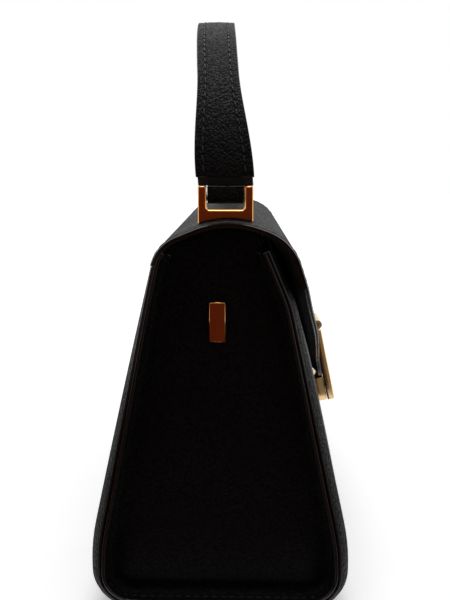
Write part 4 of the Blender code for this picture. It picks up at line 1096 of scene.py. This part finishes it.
class BAG_OT_hardware(bpy.types.Operator):
    """Polished brackets, clasp and plaques, and the finishes of the steel parts, magnet and boards"""

    bl_idname = "bag.hardware"
    bl_label = "Hardware"

    def execute(self, context):
        # painted reflection: brackets and plaques take the more orange copy of the gold
        warm, pale = gold_plate("warm"), gold_plate("clasp")
        for side in ("left", "right"):
            cad_copy(f"bracket_{side}", "lid", warm)
            cad_copy(f"plaque_{side}", "body", warm)
        for name, body in (("clasp_plate", "clasp"), ("clasp_leaf", "lid"), ("clasp_block", "body")):
            cad_copy(name, body, pale)
        finishes = {"steel": plain_steel(), "magnet": nickel_plate(), "board": fibre_board()}
        for subpart in frame["record"]["subparts"]:
            if subpart["material_slot"] in finishes:
                data = frame["nodes"][subpart["node"]].data
                data.materials.clear()
                data.materials.append(finishes[subpart["material_slot"]])
        return {"FINISHED"}


# Stage
FLOOR_HALF_WIDTH, FLOOR_GAP = 4.0, 0.0001
FLOOR_NEAR, FLOOR_FAR = 0.25, 1.3
CARD_WALL_X, CARD_FOOT_X, CARD_LIFT, CARD_HEIGHT = -0.47, -0.125, 0.001, 1.8
CARDS = (("brown", (-0.095, 0.6), "#4a1e0a", "#66290c"), ("grey", (-0.6, -0.0955), "#8c8478", "#9a9286"))
ROOM_LIGHT = 0.2
LAMPS = (("Overhead soft box", (0.0, 0.02, 1.15), (0.9, 0.7), 7.5),
         ("Rear fill", (0.55, -0.75, 0.75), (0.6, 0.6), 0.7))
LAMP_TARGET = Vector((0.0, 0.0, 0.1))
CAMERA_PLACE = Vector((-0.3876, -0.0087, 0.2079))
CAMERA_DOWN, CAMERA_TURN = math.radians(11.64), math.radians(1.257)
CAMERA_LENS_MM, CAMERA_SENSOR_MM = 40.2, 36


class BAG_OT_stage(bpy.types.Operator):
    """Pale floor and backdrop, cards that the metal mirrors, soft overhead lamp, fill and the camera"""

    bl_idname = "bag.stage"
    bl_label = "Stage"

    def execute(self, context):
        scene = context.scene
        work = bmesh.new()
        bmesh.ops.create_grid(work, x_segments=2, y_segments=2, size=FLOOR_HALF_WIDTH,
                              matrix=Matrix.Translation((0, 0, -FLOOR_GAP)))
        new_piece("floor", work, [pale_floor()])
        for tone, (low, high), dark, light in CARDS:
            self.card(f"{tone}_card", low, high, uncoated_card(tone, dark, light))
        world = bpy.data.worlds.new("Plain white studio")
        scene.world = world
        world.use_nodes = True
        tree = world.node_tree
        glow = add(tree, "ShaderNodeMapRange", [(looked_at(tree), "Value")], To_Min=ROOM_LIGHT)
        set_up(tree.nodes["Background"], [(glow.outputs["Result"], "Strength")], Color=(1, 1, 1, 1))
        for name, place, size, power in LAMPS:
            self.lamp(name, Vector(place), size, power)
        lens = bpy.data.cameras.new("Camera")
        lens.lens = CAMERA_LENS_MM
        lens.sensor_width = CAMERA_SENSOR_MM
        lens.clip_start = 0.01
        camera = bpy.data.objects.new("Camera", lens)
        scene.collection.objects.link(camera)
        forward = Vector((math.cos(CAMERA_DOWN) * math.cos(CAMERA_TURN),
                          math.cos(CAMERA_DOWN) * math.sin(CAMERA_TURN), -math.sin(CAMERA_DOWN)))
        camera.location = CAMERA_PLACE
        camera.rotation_euler = forward.to_track_quat("-Z", "Y").to_euler()
        scene.camera = camera
        scene.view_settings.view_transform = "Standard"
        return {"FINISHED"}

    def card(self, name, low, high, material):
        """A standing card with a foot on the floor, behind the camera and unseen by it."""
        section = [(CARD_FOOT_X, CARD_LIFT), (CARD_WALL_X, CARD_LIFT), (CARD_WALL_X, CARD_LIFT + CARD_HEIGHT)]
        work = mapped_grid((low, high), section, lambda y, spot: Vector((spot[0], y, spot[1])))
        card = new_piece(name, work, [material])
        card.visible_camera = False
        card.visible_diffuse = False
        card.visible_shadow = False

    def lamp(self, name, place, size, power):
        """A soft rectangular lamp aimed at the bag."""
        light = bpy.data.lights.new(name, "AREA")
        light.shape = "RECTANGLE"
        light.size, light.size_y = size
        light.energy = power
        lamp = bpy.data.objects.new(name, light)
        bpy.context.scene.collection.objects.link(lamp)
        lamp.location = place
        lamp.rotation_euler = (LAMP_TARGET - place).to_track_quat("-Z", "Y").to_euler()


class BAG_PT_panel(bpy.types.Panel):
    """Sidebar panel with the bag's settings and pieces"""

    bl_idname = "BAG_PT_panel"
    bl_label = "Structured bag"
    bl_space_type = "VIEW_3D"
    bl_region_type = "UI"
    bl_category = "Bag"

    def draw(self, context):
        layout = self.layout
        for name in BagSettings.__annotations__:
            layout.prop(context.scene.bag_settings, name)
        for operator in OPERATORS:
            layout.operator(operator.bl_idname)


OPERATORS = (BAG_OT_wrap, BAG_OT_lid, BAG_OT_gussets, BAG_OT_handle, BAG_OT_stitching, BAG_OT_hardware,
             BAG_OT_stage)
CLASSES = (BagSettings,) + OPERATORS + (BAG_PT_panel,)


def register():
    """Registers the classes and gives the scene its settings."""
    for cls in CLASSES:
        bpy.utils.register_class(cls)
    bpy.types.Scene.bag_settings = bpy.props.PointerProperty(type=BagSettings)


def unregister():
    """Takes the settings and the classes out again."""
    del bpy.types.Scene.bag_settings
    for cls in reversed(CLASSES):
        bpy.utils.unregister_class(cls)


def main():
    """Builds every piece and the stage."""
    register()
    for operator in OPERATORS:
        group, name = operator.bl_idname.split(".")
        getattr(getattr(bpy.ops, group), name)()


if __name__ == "__main__":
    main()
